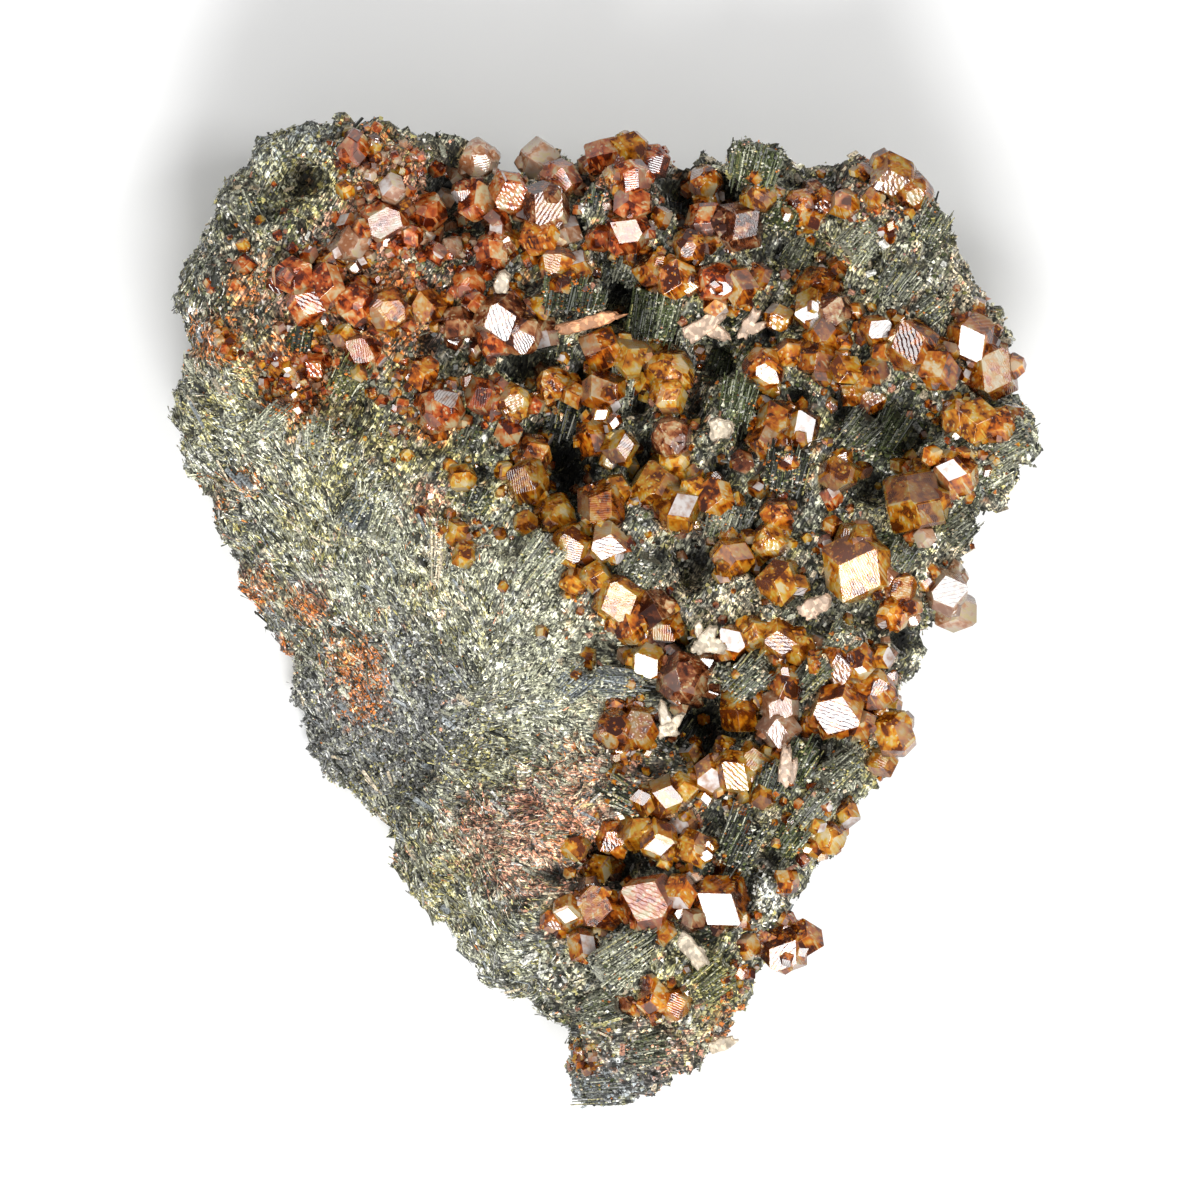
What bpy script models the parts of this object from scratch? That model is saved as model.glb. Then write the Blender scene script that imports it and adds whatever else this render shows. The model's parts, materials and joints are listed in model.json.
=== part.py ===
# Topazolite garnet specimen: a shield-shaped lump of fibrous green rock lying on its back, with
# clusters of garnet crystals and a few pale feldspar blades grown on the side that faces up.
import math
import random

import bmesh
import bpy
from mathutils import Matrix, Vector, geometry, noise
from mathutils.bvhtree import BVHTree

MM = 0.001

# The photograph looks straight down on the specimen. Places are read in its 1200 x 1200 frame.
PHOTO_SCALE = 0.115 * MM  # size of one pixel of the photograph on the specimen
PHOTO_ORIGIN = (600, 560)  # pixel that shows the frame's origin, the middle of the flat base

# Rock: heights above the surface that it lies on
FRONT_HEIGHT = 37.0 * MM  # the crystal-bearing side
LOWEST_EDGE = 5.0 * MM  # the lower left edge, at the foot of the broken side
BROKEN_SIDE_SLOPE = 1.08  # fall of the broken left side for each unit outwards
TIP_DROP = 9.0 * MM  # how far the front falls towards the narrow end
TIP_START, TIP_END = 930, 1110  # photograph rows between which it falls
EDGE_ROUNDING = 4.5 * MM  # width of the rounding along the rim
EDGE_DROP = 6.5 * MM  # how much lower the rim is than the front
UNDERCUT_LEFT, UNDERCUT_RIGHT = 0.05, 0.24  # how far the base draws in from the outline, as a share
SLAB_HEIGHT = 30.0 * MM  # slab that the rock is shaped from
ROCK_CELL = 1.9 * MM  # spacing of the rock's surface points before it is thinned out
ROCK_TRIANGLES = 2100
MATRIX_TRIANGLES = 3350  # with the fibre bundles and small crystals that are part of it
BASE_CUT = 0.7 * MM  # sliver taken off the underside to leave it flat
ROUGHNESS = 1.5 * MM  # height of the rock's lumps
SEAT_GAP = 0.35 * MM  # gap between a crystal and what it grows on
HAIRLINE = 0.08 * MM  # the least gap, in folds where a cutter as wide as the gap overlaps itself

# The rock's outline, clockwise from the upper left corner
OUTLINE = [
    (264, 121), (300, 118), (337, 115), (350, 109), (382, 111), (391, 120), (409, 116), (427, 126),
    (452, 132), (470, 146), (505, 150), (520, 147), (576, 150), (590, 139), (614, 139), (645, 141),
    (655, 148), (700, 149), (737, 147), (748, 142), (790, 151), (838, 158), (847, 156), (851, 145),
    (866, 141), (924, 153), (938, 166), (941, 190), (955, 213), (969, 232), (973, 253), (982, 274),
    (993, 293), (1000, 312), (1022, 328), (1020, 344), (1004, 352), (1012, 380), (1040, 399),
    (1055, 418), (1051, 436), (1036, 455), (1028, 484), (1012, 497), (1000, 509), (980, 515),
    (984, 533), (966, 546), (970, 590), (950, 612), (931, 647), (929, 665), (921, 690), (905, 704),
    (903, 745), (888, 772), (880, 798), (863, 822), (847, 840), (835, 868), (815, 885), (800, 930),
    (765, 965), (768, 1000), (750, 1011), (742, 1050), (714, 1064), (699, 1082), (656, 1110),
    (634, 1116), (589, 1116), (567, 1116), (560, 1102), (568, 1075), (562, 1045), (554, 1024),
    (518, 1003), (482, 988), (464, 957), (446, 932), (422, 921), (393, 877), (385, 840), (362, 819),
    (348, 801), (309, 781), (292, 750), (296, 720), (286, 669), (266, 637), (239, 599), (226, 555),
    (212, 532), (200, 488), (188, 472), (172, 456), (178, 438), (160, 408), (178, 383), (188, 350),
    (184, 320), (173, 298), (183, 264), (205, 224), (208, 199), (222, 175), (239, 161), (252, 140),
]

# Crest between the crystal-bearing front and the broken left side, from top to bottom
CREST = [
    (250, 60), (222, 200), (212, 300), (250, 385), (345, 450), (440, 520), (530, 600), (600, 690),
    (625, 770), (575, 860), (535, 930), (545, 1010), (570, 1160),
]

# Hollows between the crystals: photograph x, y, then width and depth in millimetres
HOLLOWS = [
    (449, 178, 5, 9), (452, 214, 5, 9), (512, 166, 4, 6), (582, 168, 4, 6), (674, 172, 5, 9),
    (690, 196, 5, 9), (728, 196, 4, 8), (620, 288, 5, 9), (643, 336, 5, 7), (560, 438, 6, 11),
    (570, 478, 6, 11), (650, 460, 4, 8), (706, 358, 6, 8), (699, 540, 4, 8), (697, 574, 4, 8),
    (708, 727, 8, 10), (612, 864, 6, 9), (912, 436, 8, 7), (866, 482, 4, 7), (804, 253, 9, 5),
    (302, 178, 5, 6), (284, 168, 4, 5), (335, 400, 6, 6), (257, 396, 5, 4), (622, 659, 4, 6),
    (452, 366, 5, 6), (530, 372, 5, 6), (744, 340, 4, 6), (680, 640, 4, 6), (735, 880, 5, 6),
]

# Lumps that stand above the front: photograph x, y, then width and height in millimetres
LUMPS = [
    (893, 184, 9, 4.0), (764, 166, 6, 3.0), (628, 168, 7, 2.5), (290, 150, 9, 2.0),
    (385, 150, 8, 2.5), (1020, 425, 8, 2.5), (930, 245, 8, 1.5), (655, 555, 8, 2.0),
    (600, 1050, 9, 1.5), (520, 560, 8, 1.5), (850, 640, 7, 2.0), (770, 610, 6, 2.0),
]

# Stubby bundles of green fibres: photograph x, y, length, width and height in millimetres, then
# the direction that the length points in, in degrees from the photograph's right-hand side
FIBRE_BUNDLES = [
    (575, 293, 7.2, 4.2, 3.5, -8), (755, 164, 5.4, 4.8, 4.0, -12), (654, 313, 5.0, 5.5, 2.5, 20),
    (572, 418, 5.6, 4.6, 3.0, -15), (738, 400, 3.8, 5.4, 3.5, 5), (782, 217, 3.4, 3.0, 3.0, -20),
    (316, 436, 3.0, 4.6, 2.5, 8), (358, 512, 3.0, 4.4, 2.0, 25), (380, 525, 3.0, 4.2, 2.0, 25),
    (540, 560, 5.4, 4.0, 2.5, 35), (616, 682, 6.0, 3.2, 3.0, -5), (574, 682, 3.4, 3.2, 2.5, 40),
    (787, 467, 4.6, 4.6, 3.0, 10), (889, 430, 3.6, 5.0, 2.5, -30), (748, 677, 4.6, 4.0, 3.0, 40),
    (813, 673, 3.0, 4.6, 3.0, 35), (625, 796, 5.6, 3.4, 2.5, 28), (741, 841, 4.4, 6.0, 3.0, -15),
    (618, 962, 6.6, 5.0, 3.0, 35), (712, 979, 5.0, 3.8, 2.5, 38), (349, 378, 4.4, 3.8, 2.5, -30),
    (950, 448, 5.0, 2.6, 2.5, 25), (842, 642, 4.6, 3.4, 3.0, 0), (775, 600, 5.0, 5.2, 3.0, 15),
]

# Garnet crystals: photograph x, y and width in millimetres, row by row from the top
GARNETS = [
    # upper left
    (355, 148, 4.0), (436, 164, 2.6), (393, 190, 3.6), (346, 188, 2.8), (384, 219, 4.8),
    (427, 212, 4.4), (410, 236, 3.2), (351, 244, 4.2), (330, 262, 3.6), (293, 275, 5.0),
    (324, 284, 4.6), (306, 304, 4.6), (436, 253, 3.0), (355, 304, 4.8), (387, 309, 5.0),
    (424, 306, 4.4), (458, 322, 4.2), (362, 354, 4.6), (343, 336, 3.2), (422, 372, 4.0),
    (311, 366, 3.4), (442, 410, 5.2), (452, 246, 2.6), (244, 264, 2.6), (210, 340, 3.4),
    # upper edge
    (478, 158, 4.4), (461, 170, 3.6), (538, 158, 4.8), (560, 178, 4.6), (477, 200, 5.0),
    (509, 192, 4.8), (545, 207, 5.4), (498, 230, 3.4), (467, 284, 3.8), (492, 250, 4.0),
    (605, 156, 4.2), (630, 151, 4.4), (652, 160, 4.2), (632, 176, 4.4), (632, 204, 4.2),
    (630, 233, 5.2), (600, 238, 3.6), (661, 217, 2.8), (706, 180, 4.0), (706, 222, 4.8),
    (708, 200, 3.6), (690, 246, 4.0), (740, 226, 5.6), (759, 194, 4.0), (801, 204, 4.0),
    (823, 202, 3.4), (844, 204, 3.6), (893, 178, 5.6), (912, 192, 4.6), (839, 268, 3.0),
    # below the upper edge
    (540, 236, 4.8), (566, 232, 3.6), (556, 264, 4.4), (574, 268, 4.0), (603, 275, 3.2),
    (652, 270, 4.2), (675, 278, 5.0), (716, 282, 4.6), (740, 286, 4.6), (757, 276, 3.4),
    (716, 304, 3.4), (500, 316, 5.2), (541, 307, 3.4), (521, 334, 4.8), (546, 332, 3.6),
    (494, 340, 3.8), (601, 349, 4.8), (628, 358, 5.0), (647, 345, 3.8), (670, 372, 5.4),
    (668, 394, 4.6), (603, 390, 5.0), (573, 394, 3.6), (553, 384, 4.0), (483, 396, 4.4),
    (514, 402, 4.2), (508, 430, 3.6), (818, 286, 4.4), (812, 308, 4.4), (834, 308, 4.2),
    (824, 333, 4.4), (818, 357, 4.8), (846, 370, 4.0), (764, 368, 5.0), (790, 352, 3.6),
    (778, 316, 3.6), (877, 331, 3.8), (882, 350, 3.0), (910, 344, 5.8), (936, 366, 5.2),
    (976, 307, 3.2), (971, 338, 5.6), (993, 371, 6.4), (875, 371, 3.4), (853, 393, 3.4),
    (872, 399, 3.4),
    # middle
    (594, 436, 4.6), (621, 446, 3.8), (630, 467, 3.2), (672, 436, 4.8), (674, 458, 3.8),
    (529, 456, 4.6), (527, 482, 5.0), (603, 505, 5.2), (616, 488, 3.6), (654, 487, 5.2),
    (677, 508, 5.6), (694, 490, 3.8), (714, 496, 4.8), (554, 514, 4.4), (526, 523, 3.2),
    (570, 545, 4.4), (607, 543, 4.6), (596, 576, 3.8), (574, 582, 3.6), (618, 599, 5.2),
    (652, 608, 4.6), (630, 624, 4.2), (664, 628, 4.2), (778, 418, 4.6), (801, 428, 4.6),
    (766, 438, 4.2), (783, 446, 3.8), (839, 474, 4.6), (742, 462, 3.2), (759, 486, 3.0),
    (778, 514, 3.8), (771, 540, 4.2), (733, 557, 4.8), (780, 583, 5.6), (856, 566, 7.6),
    (832, 526, 2.8), (957, 474, 5.2), (976, 420, 5.4), (958, 414, 4.2), (996, 424, 4.0),
    (915, 502, 7.4), (925, 474, 3.8), (894, 614, 3.8), (901, 588, 3.8), (945, 592, 4.8),
    (957, 610, 4.8), (462, 478, 3.6), (455, 532, 3.0), (464, 556, 3.2),
    # right
    (735, 642, 4.2), (755, 632, 4.0), (778, 638, 4.4), (800, 648, 4.4), (788, 682, 4.2),
    (838, 662, 4.6), (858, 662, 4.4), (882, 656, 3.2), (873, 690, 5.0), (889, 706, 3.6),
    (835, 708, 6.0), (860, 724, 3.8), (781, 706, 4.0), (779, 728, 4.4), (740, 710, 5.2),
    (683, 679, 5.6), (645, 660, 4.0), (584, 659, 3.4), (894, 734, 5.4), (884, 762, 3.8),
    (705, 662, 2.8), (712, 688, 2.8), (847, 814, 3.4), (828, 838, 4.0),
    # lower end
    (616, 730, 4.6), (638, 728, 4.6), (692, 756, 3.4), (710, 774, 4.4), (734, 772, 5.4),
    (754, 762, 3.8), (662, 796, 4.4), (682, 790, 3.6), (643, 800, 3.6), (763, 797, 3.6),
    (638, 832, 4.4), (658, 840, 4.8), (614, 838, 4.2), (694, 848, 4.4), (684, 826, 3.4),
    (596, 870, 3.8), (598, 908, 5.8), (567, 912, 3.8), (553, 920, 3.4), (650, 904, 6.2),
    (680, 892, 4.0), (721, 901, 6.6), (693, 920, 3.0), (664, 933, 3.2), (582, 946, 4.0),
    (786, 882, 3.4), (786, 948, 5.4), (802, 938, 4.4), (766, 938, 3.6), (748, 948, 3.4),
    (656, 1002, 4.4), (674, 1004, 4.2), (624, 1004, 2.8), (574, 848, 3.6),
]
CRYSTAL_LIFT = 0.20  # height of a crystal's middle above the rock, as a share of its width
GROWTH_VARIATION = 0.12  # how unequally a crystal's faces grew
SMALLEST_CRYSTAL = 3.8  # millimetres; smaller crystals are only surface grain
SMALLEST_CLUSTER = 36.0 * MM**3  # crystals alone and smaller than this are part of the rock
SMALLEST_PIECE = 8.0 * MM**3

# Feldspar blades: photograph x, y, length, width and thickness in millimetres, direction, tilt
FELDSPAR_BLADES = [
    ("feldspar_star", 708, 327, 6.0, 4.2, 1.2, 25, 14),
    ("feldspar_long_lath", 592, 322, 9.0, 2.6, 1.4, 16, 10),
    ("feldspar_upper_left", 503, 282, 3.2, 2.6, 1.0, 70, 25),
    ("feldspar_upper_right", 752, 322, 5.6, 2.2, 1.0, 60, 20),
    ("feldspar_block", 721, 430, 3.4, 3.2, 1.4, 10, 12),
    ("feldspar_middle", 710, 640, 5.4, 3.8, 1.2, 30, 15),
    ("feldspar_right", 815, 607, 5.0, 3.2, 1.2, 30, 14),
    ("feldspar_forked", 668, 716, 5.4, 3.6, 1.2, 80, 20),
    ("feldspar_lower", 692, 950, 5.6, 3.2, 1.2, -40, 16),
    ("feldspar_pillar", 785, 764, 5.8, 2.2, 1.6, 84, 12),
    ("feldspar_slab", 722, 1048, 4.4, 2.2, 1.2, 20, 10),
]
BLADE_LIFT = 1.5 * MM

# Colours of the record's three materials
ROCK_GREEN = (0.17, 0.20, 0.15, 1.0)
GARNET_AMBER = (0.55, 0.20, 0.04, 1.0)
FELDSPAR_CREAM = (0.74, 0.64, 0.52, 1.0)


def place(px, py):
    """Frame x and y of a pixel of the photograph."""
    return (px - PHOTO_ORIGIN[0]) * PHOTO_SCALE, (PHOTO_ORIGIN[1] - py) * PHOTO_SCALE


def smooth(low, high, value):
    """A share from 0 at low to 1 at high that starts and ends gently."""
    share = min(1.0, max(0.0, (value - low) / (high - low)))
    return share * share * (3 - 2 * share)


outline_points = [Vector((*place(px, py), 0)) for px, py in OUTLINE]
crest_points = [Vector((*place(px, py), 0)) for px, py in CREST]


def distance_to(points, spot, closed):
    """Distance from a spot to a line of points, and the side of it that the spot is on."""
    ends = points[1:] + points[:1] if closed else points[1:]
    best, side = 1e9, 1.0
    for start, end in zip(points, ends):
        near, share = geometry.intersect_point_line(spot, start, end)
        near = start.lerp(end, min(1.0, max(0.0, share)))
        away = (spot - near).length
        if away < best:
            best = away
            side = math.copysign(1.0, (end - start).cross(spot - start).z)
    return best, side


def ground(x, y):
    """Height of the upper side of the rock at a place, before its small lumps."""
    spot = Vector((x, y, 0))
    height = FRONT_HEIGHT
    away, side = distance_to(crest_points, spot, False)
    outwards = -side * away  # positive on the broken left side
    if outwards > 0:
        height -= BROKEN_SIDE_SLOPE * (outwards - 2.5 * MM * (1 - math.exp(-outwards / (2.5 * MM))))
    tip_low = place(0, TIP_START)[1]
    tip_high = place(0, TIP_END)[1]
    height -= TIP_DROP * smooth(-tip_low, -tip_high, -y)
    height += 2.2 * MM * noise.fractal(Vector((x, y, 0.3)) / (17 * MM), 1.0, 2.0, 3)
    for features, sign in ((HOLLOWS, -1), (LUMPS, 1)):
        for px, py, width, rise in features:
            fx, fy = place(px, py)
            reach = ((x - fx) ** 2 + (y - fy) ** 2) / (0.5 * width * MM) ** 2
            if reach < 6:
                height += sign * rise * MM * math.exp(-reach)
    return max(height, LOWEST_EDGE)


def new_object(name, mesh, collection):
    made = bpy.data.objects.new(name, mesh)
    collection.objects.link(made)
    return made


def bake(obj):
    """Gives an object the mesh that its modifiers make, and drops the modifiers."""
    bpy.context.view_layer.update()
    graph = bpy.context.evaluated_depsgraph_get()
    mesh = bpy.data.meshes.new_from_object(obj.evaluated_get(graph))
    obj.modifiers.clear()
    if obj.type == "MESH":
        obj.data = mesh
        return obj
    made = new_object(obj.name + "_mesh", mesh, obj.users_collection[0])
    made.matrix_world = obj.matrix_world
    bpy.data.objects.remove(obj)
    return made


def boolean(obj, other, operation):
    modifier = obj.modifiers.new(operation.lower(), "BOOLEAN")
    modifier.operation = operation
    modifier.solver = "EXACT"
    modifier.use_self = True
    modifier.object = other
    return bake(obj)


def closed(work):
    return all(len(edge.link_faces) == 2 for edge in work.edges)


def clean(work, merge, flat):
    """A copy with the points that a Boolean left almost together merged, then flat faces joined."""
    tidy = work.copy()
    bmesh.ops.remove_doubles(tidy, verts=tidy.verts, dist=merge)
    bmesh.ops.dissolve_degenerate(tidy, edges=tidy.edges, dist=merge)
    if flat:
        bmesh.ops.dissolve_limit(tidy, angle_limit=flat, verts=tidy.verts, edges=tidy.edges)
    bmesh.ops.triangulate(tidy, faces=tidy.faces)
    bmesh.ops.remove_doubles(tidy, verts=tidy.verts, dist=0.2 * merge)
    bmesh.ops.dissolve_degenerate(tidy, edges=tidy.edges, dist=0.2 * merge)
    return tidy


def cleaned(work, flat=0.0):
    """The strongest cleaning that leaves the body closed and as large as it was."""
    volume = work.calc_volume()
    for share in (1.0, 0.5, 0.2, 0.0):
        tidy = clean(work, max(share, 0.05) * 0.03 * MM, share * flat)
        if closed(tidy) and abs(tidy.calc_volume() - volume) < 0.04 * volume:
            work.free()
            return tidy
        tidy.free()
    print("left as it was:", len(work.faces), "faces")
    bmesh.ops.triangulate(work, faces=work.faces)
    return work


def clean_object(obj):
    work = bmesh.new()
    work.from_mesh(obj.data)
    work = cleaned(work)
    work.to_mesh(obj.data)
    work.free()


def material(name, colour, roughness, transmission=0.0):
    made = bpy.data.materials.new(name)
    made.use_nodes = True
    shader = made.node_tree.nodes["Principled BSDF"]
    shader.inputs["Base Color"].default_value = colour
    shader.inputs["Roughness"].default_value = roughness
    shader.inputs["Transmission Weight"].default_value = transmission
    made.diffuse_color = colour
    return made


def thin_out(obj, triangles):
    thin = obj.modifiers.new("thin", "DECIMATE")
    obj.data.update()
    obj.data.calc_loop_triangles()
    thin.ratio = triangles / len(obj.data.loop_triangles)
    bake(obj)


def slab_from_outline(collection):
    """A flat slab with the rock's outline, made of even cells that can be shaped."""
    curve = bpy.data.curves.new("slab", "CURVE")
    curve.dimensions = "2D"
    curve.fill_mode = "BOTH"
    curve.extrude = SLAB_HEIGHT / 2
    line = curve.splines.new("POLY")
    line.points.add(len(outline_points) - 1)
    for point, corner in zip(line.points, outline_points):
        point.co = (corner.x, corner.y, 0, 1)
    line.use_cyclic_u = True
    slab = bpy.data.objects.new("slab", curve)
    collection.objects.link(slab)
    slab.location.z = SLAB_HEIGHT / 2
    slab = bake(slab)
    cells = slab.modifiers.new("cells", "REMESH")
    cells.mode = "VOXEL"
    cells.voxel_size = ROCK_CELL
    slab = bake(slab)
    slab.data.transform(slab.matrix_world)
    slab.matrix_world = Matrix.Identity(4)
    return slab


def shape_rock(rock):
    """Raises the slab's upper side to the rock's height, draws its foot in and roughens it."""
    for vertex in rock.data.vertices:
        x, y, z = vertex.co
        share = min(1.0, max(0.0, z / SLAB_HEIGHT))
        inside, _ = distance_to(outline_points, Vector((x, y, 0)), True)
        rounding = 1 - min(1.0, inside / EDGE_ROUNDING)
        top = max(ground(x, y) - EDGE_DROP * rounding**2, LOWEST_EDGE)
        undercut = UNDERCUT_LEFT + (UNDERCUT_RIGHT - UNDERCUT_LEFT) * smooth(-45 * MM, 30 * MM, x)
        draw_in = 1 - undercut * (1 - share) ** 1.4
        vertex.co = (x * draw_in, y * draw_in, share * top)
    rock.data.update()
    normals = [Vector(vertex.normal) for vertex in rock.data.vertices]
    for vertex, normal in zip(rock.data.vertices, normals):
        spot = vertex.co / MM
        free = smooth(0.3, 3.0, spot.z)
        coarse = noise.fractal(spot / 5.5, 0.8, 2.1, 4)
        blocky = noise.noise(spot / 3.0, noise_basis="VORONOI_F2F1") - 0.3
        vertex.co += normal * free * ROUGHNESS * (0.75 * coarse + 0.55 * blocky)
    thin_out(rock, ROCK_TRIANGLES)


def cut_flat_base(rock):
    work = bmesh.new()
    work.from_mesh(rock.data)
    cut = bmesh.ops.bisect_plane(
        work,
        geom=work.verts[:] + work.edges[:] + work.faces[:],
        plane_co=(0, 0, BASE_CUT),
        plane_no=(0, 0, 1),
        clear_inner=True,
    )
    rim = [item for item in cut["geom_cut"] if isinstance(item, bmesh.types.BMEdge)]
    bmesh.ops.contextual_create(work, geom=rim)
    bmesh.ops.translate(work, verts=work.verts, vec=(0, 0, -BASE_CUT))
    bmesh.ops.triangulate(work, faces=work.faces)
    bmesh.ops.recalc_face_normals(work, faces=work.faces)
    work.to_mesh(rock.data)
    work.free()


def surface_of(obj):
    return BVHTree.FromPolygons(
        [vertex.co for vertex in obj.data.vertices],
        [face.vertices for face in obj.data.polygons],
    )


def seat_height(surface, x, y, width):
    """Mean height of the surface under a piece of that width."""
    heights = []
    for step in range(5):
        reach = 0.0 if step == 4 else 0.35 * width
        turn = step * math.pi / 2
        start = Vector((x + reach * math.cos(turn), y + reach * math.sin(turn), 0.1))
        hit = surface.ray_cast(start, Vector((0, 0, -1)))[0]
        if hit:
            heights.append(hit.z)
    if not heights:  # beyond the rock's edge
        heights.append(surface.find_nearest(Vector((x, y, FRONT_HEIGHT - EDGE_DROP)))[0].z)
    return sum(heights) / len(heights)


def fibre_bundle(x, y, base, length, width, height, direction, tilt):
    """A blunt, slightly tapered block with the outer form of a bundle of fibres."""
    work = bmesh.new()
    bmesh.ops.create_cube(work, size=1.0)
    for vertex in work.verts:
        if vertex.co.z > 0:
            vertex.co.x *= 0.88
            vertex.co.y *= 0.88
    bmesh.ops.scale(work, verts=work.verts, vec=(length, width, 2.6 * height))
    bmesh.ops.rotate(work, verts=work.verts, matrix=Matrix.Rotation(tilt, 3, "X"))
    bmesh.ops.rotate(work, verts=work.verts, matrix=Matrix.Rotation(direction, 3, "Z"))
    bmesh.ops.translate(work, verts=work.verts, vec=(x, y, base - 0.3 * height))
    return work


def garnet_crystal(x, y, z, width, seed):
    """A rhombic dodecahedron or a trapezohedron, with faces that grew unequally."""
    chance = random.Random(seed)
    squat = 1.0 + chance.uniform(-GROWTH_VARIATION, GROWTH_VARIATION)
    corners = [Vector((a, b, c)) for a in (-1, 1) for b in (-1, 1) for c in (-1, 1)]
    tips = [Vector(tip) * sign for tip in ((1, 0, 0), (0, 1, 0), (0, 0, 1)) for sign in (-2, 2)]
    work = bmesh.new()
    if chance.random() < 0.65:
        points = corners + tips
    else:
        points = [corner * 1.12 for corner in corners] + [tip * 0.84 for tip in tips]
        for i, a in enumerate(corners):
            for b in corners[i + 1:]:
                if (a - b).length < 2.1:
                    points.append((a + b) * 0.62)
    for point in points:
        work.verts.new(point)
    made = bmesh.ops.convex_hull(work, input=work.verts)
    loose = [v for v in made["geom_interior"] if isinstance(v, bmesh.types.BMVert)]
    bmesh.ops.delete(work, geom=loose, context="VERTS")
    bmesh.ops.scale(work, verts=work.verts, vec=(squat, 1.0, 1.0 / squat))
    turn = Matrix.Rotation(chance.uniform(0, math.tau), 3, "Z")
    lean = Matrix.Rotation(chance.uniform(-0.9, 0.9), 3, "X")
    spin = Matrix.Rotation(chance.uniform(0, math.tau), 3, "Y")
    bmesh.ops.rotate(work, verts=work.verts, matrix=turn @ lean @ spin)
    bmesh.ops.scale(work, verts=work.verts, vec=(width / 3.55,) * 3)
    bmesh.ops.translate(work, verts=work.verts, vec=(x, y, z))
    return work


def feldspar_blade(x, y, z, length, width, thickness, direction, tilt, seed):
    """A thin plate with a ragged outline."""
    chance = random.Random(seed)
    work = bmesh.new()
    sides = 9
    ring = bmesh.ops.create_circle(work, segments=sides, radius=0.5, cap_ends=True)["verts"]
    for vertex in ring:
        reach = chance.uniform(0.78, 1.12)
        squared = 1.0 / max(abs(vertex.co.x), abs(vertex.co.y)) * 0.5
        vertex.co *= reach * (0.55 + 0.45 * squared)
    bmesh.ops.scale(work, verts=work.verts, vec=(length, width, 1))
    raised = bmesh.ops.extrude_face_region(work, geom=work.faces[:])
    top = [item for item in raised["geom"] if isinstance(item, bmesh.types.BMVert)]
    bmesh.ops.translate(work, verts=top, vec=(0, 0, thickness))
    bmesh.ops.scale(work, verts=top, vec=(0.86, 0.8, 1))
    bmesh.ops.triangulate(work, faces=work.faces)
    bmesh.ops.recalc_face_normals(work, faces=work.faces)
    bmesh.ops.rotate(work, verts=work.verts, matrix=Matrix.Rotation(-tilt, 3, "Y"))
    bmesh.ops.rotate(work, verts=work.verts, matrix=Matrix.Rotation(direction, 3, "Z"))
    bmesh.ops.translate(work, verts=work.verts, vec=(x, y, z))
    return work


def mesh_from(works, name):
    """One mesh that holds several pieces, which are freed."""
    joined = bmesh.new()
    for work in works:
        scratch = bpy.data.meshes.new("scratch")
        work.to_mesh(scratch)
        work.free()
        joined.from_mesh(scratch)
        bpy.data.meshes.remove(scratch)
    mesh = bpy.data.meshes.new(name)
    joined.to_mesh(mesh)
    joined.free()
    return mesh


def swollen(obj, name, collection, gap):
    """A cutter with the form of an object, a gap larger all over."""
    cutter = new_object(name, obj.data.copy(), collection)
    for vertex in cutter.data.vertices:
        vertex.co = obj.data.vertices[vertex.index].co + gap * vertex.normal
    cutter.hide_render = True
    cutter.display_type = "WIRE"
    return cutter


def loose_pieces(source):
    """The separate bodies of a mesh as new meshes; bodies that only touch are separate too."""
    source.faces.ensure_lookup_table()
    found, seen = [], set()
    for face in source.faces:
        if face in seen:
            continue
        body, front = {face}, [face]
        while front:
            for edge in front.pop().edges:
                if len(edge.link_faces) != 2:
                    continue
                for other in edge.link_faces:
                    if other not in body:
                        body.add(other)
                        front.append(other)
        seen |= body
        piece = bmesh.new()
        copies = {}
        for member in body:
            corners = []
            for vertex in member.verts:
                if vertex not in copies:
                    copies[vertex] = piece.verts.new(vertex.co)
                corners.append(copies[vertex])
            piece.faces.new(corners)
        bmesh.ops.recalc_face_normals(piece, faces=piece.faces)
        found.append(piece)
    source.free()
    return found


def tidy_bodies(obj, flat=0.0):
    """Takes an object's mesh apart into cleaned bodies, the largest first, and removes it."""
    source = bmesh.new()
    source.from_mesh(obj.data)
    bpy.data.objects.remove(obj)
    found = []
    for body in loose_pieces(source):
        found += loose_pieces(cleaned(body, flat))
    found = [body for body in found if closed(body) and body.calc_volume() > MM**3]
    return sorted(found, key=lambda body: -body.calc_volume())


def crystals_without(seats, clearances, name, collection):
    """All the crystals of a list grown into one another, cut off above the rock."""
    made = new_object(name, mesh_from([garnet_crystal(*seat) for seat in seats], name), collection)
    for clearance in clearances:
        boolean(made, clearance, "DIFFERENCE")
    return tidy_bodies(made, math.radians(7))


def shade(obj, finish):
    obj.data.materials.clear()
    obj.data.materials.append(finish)
    obj.data.shade_flat()


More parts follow.
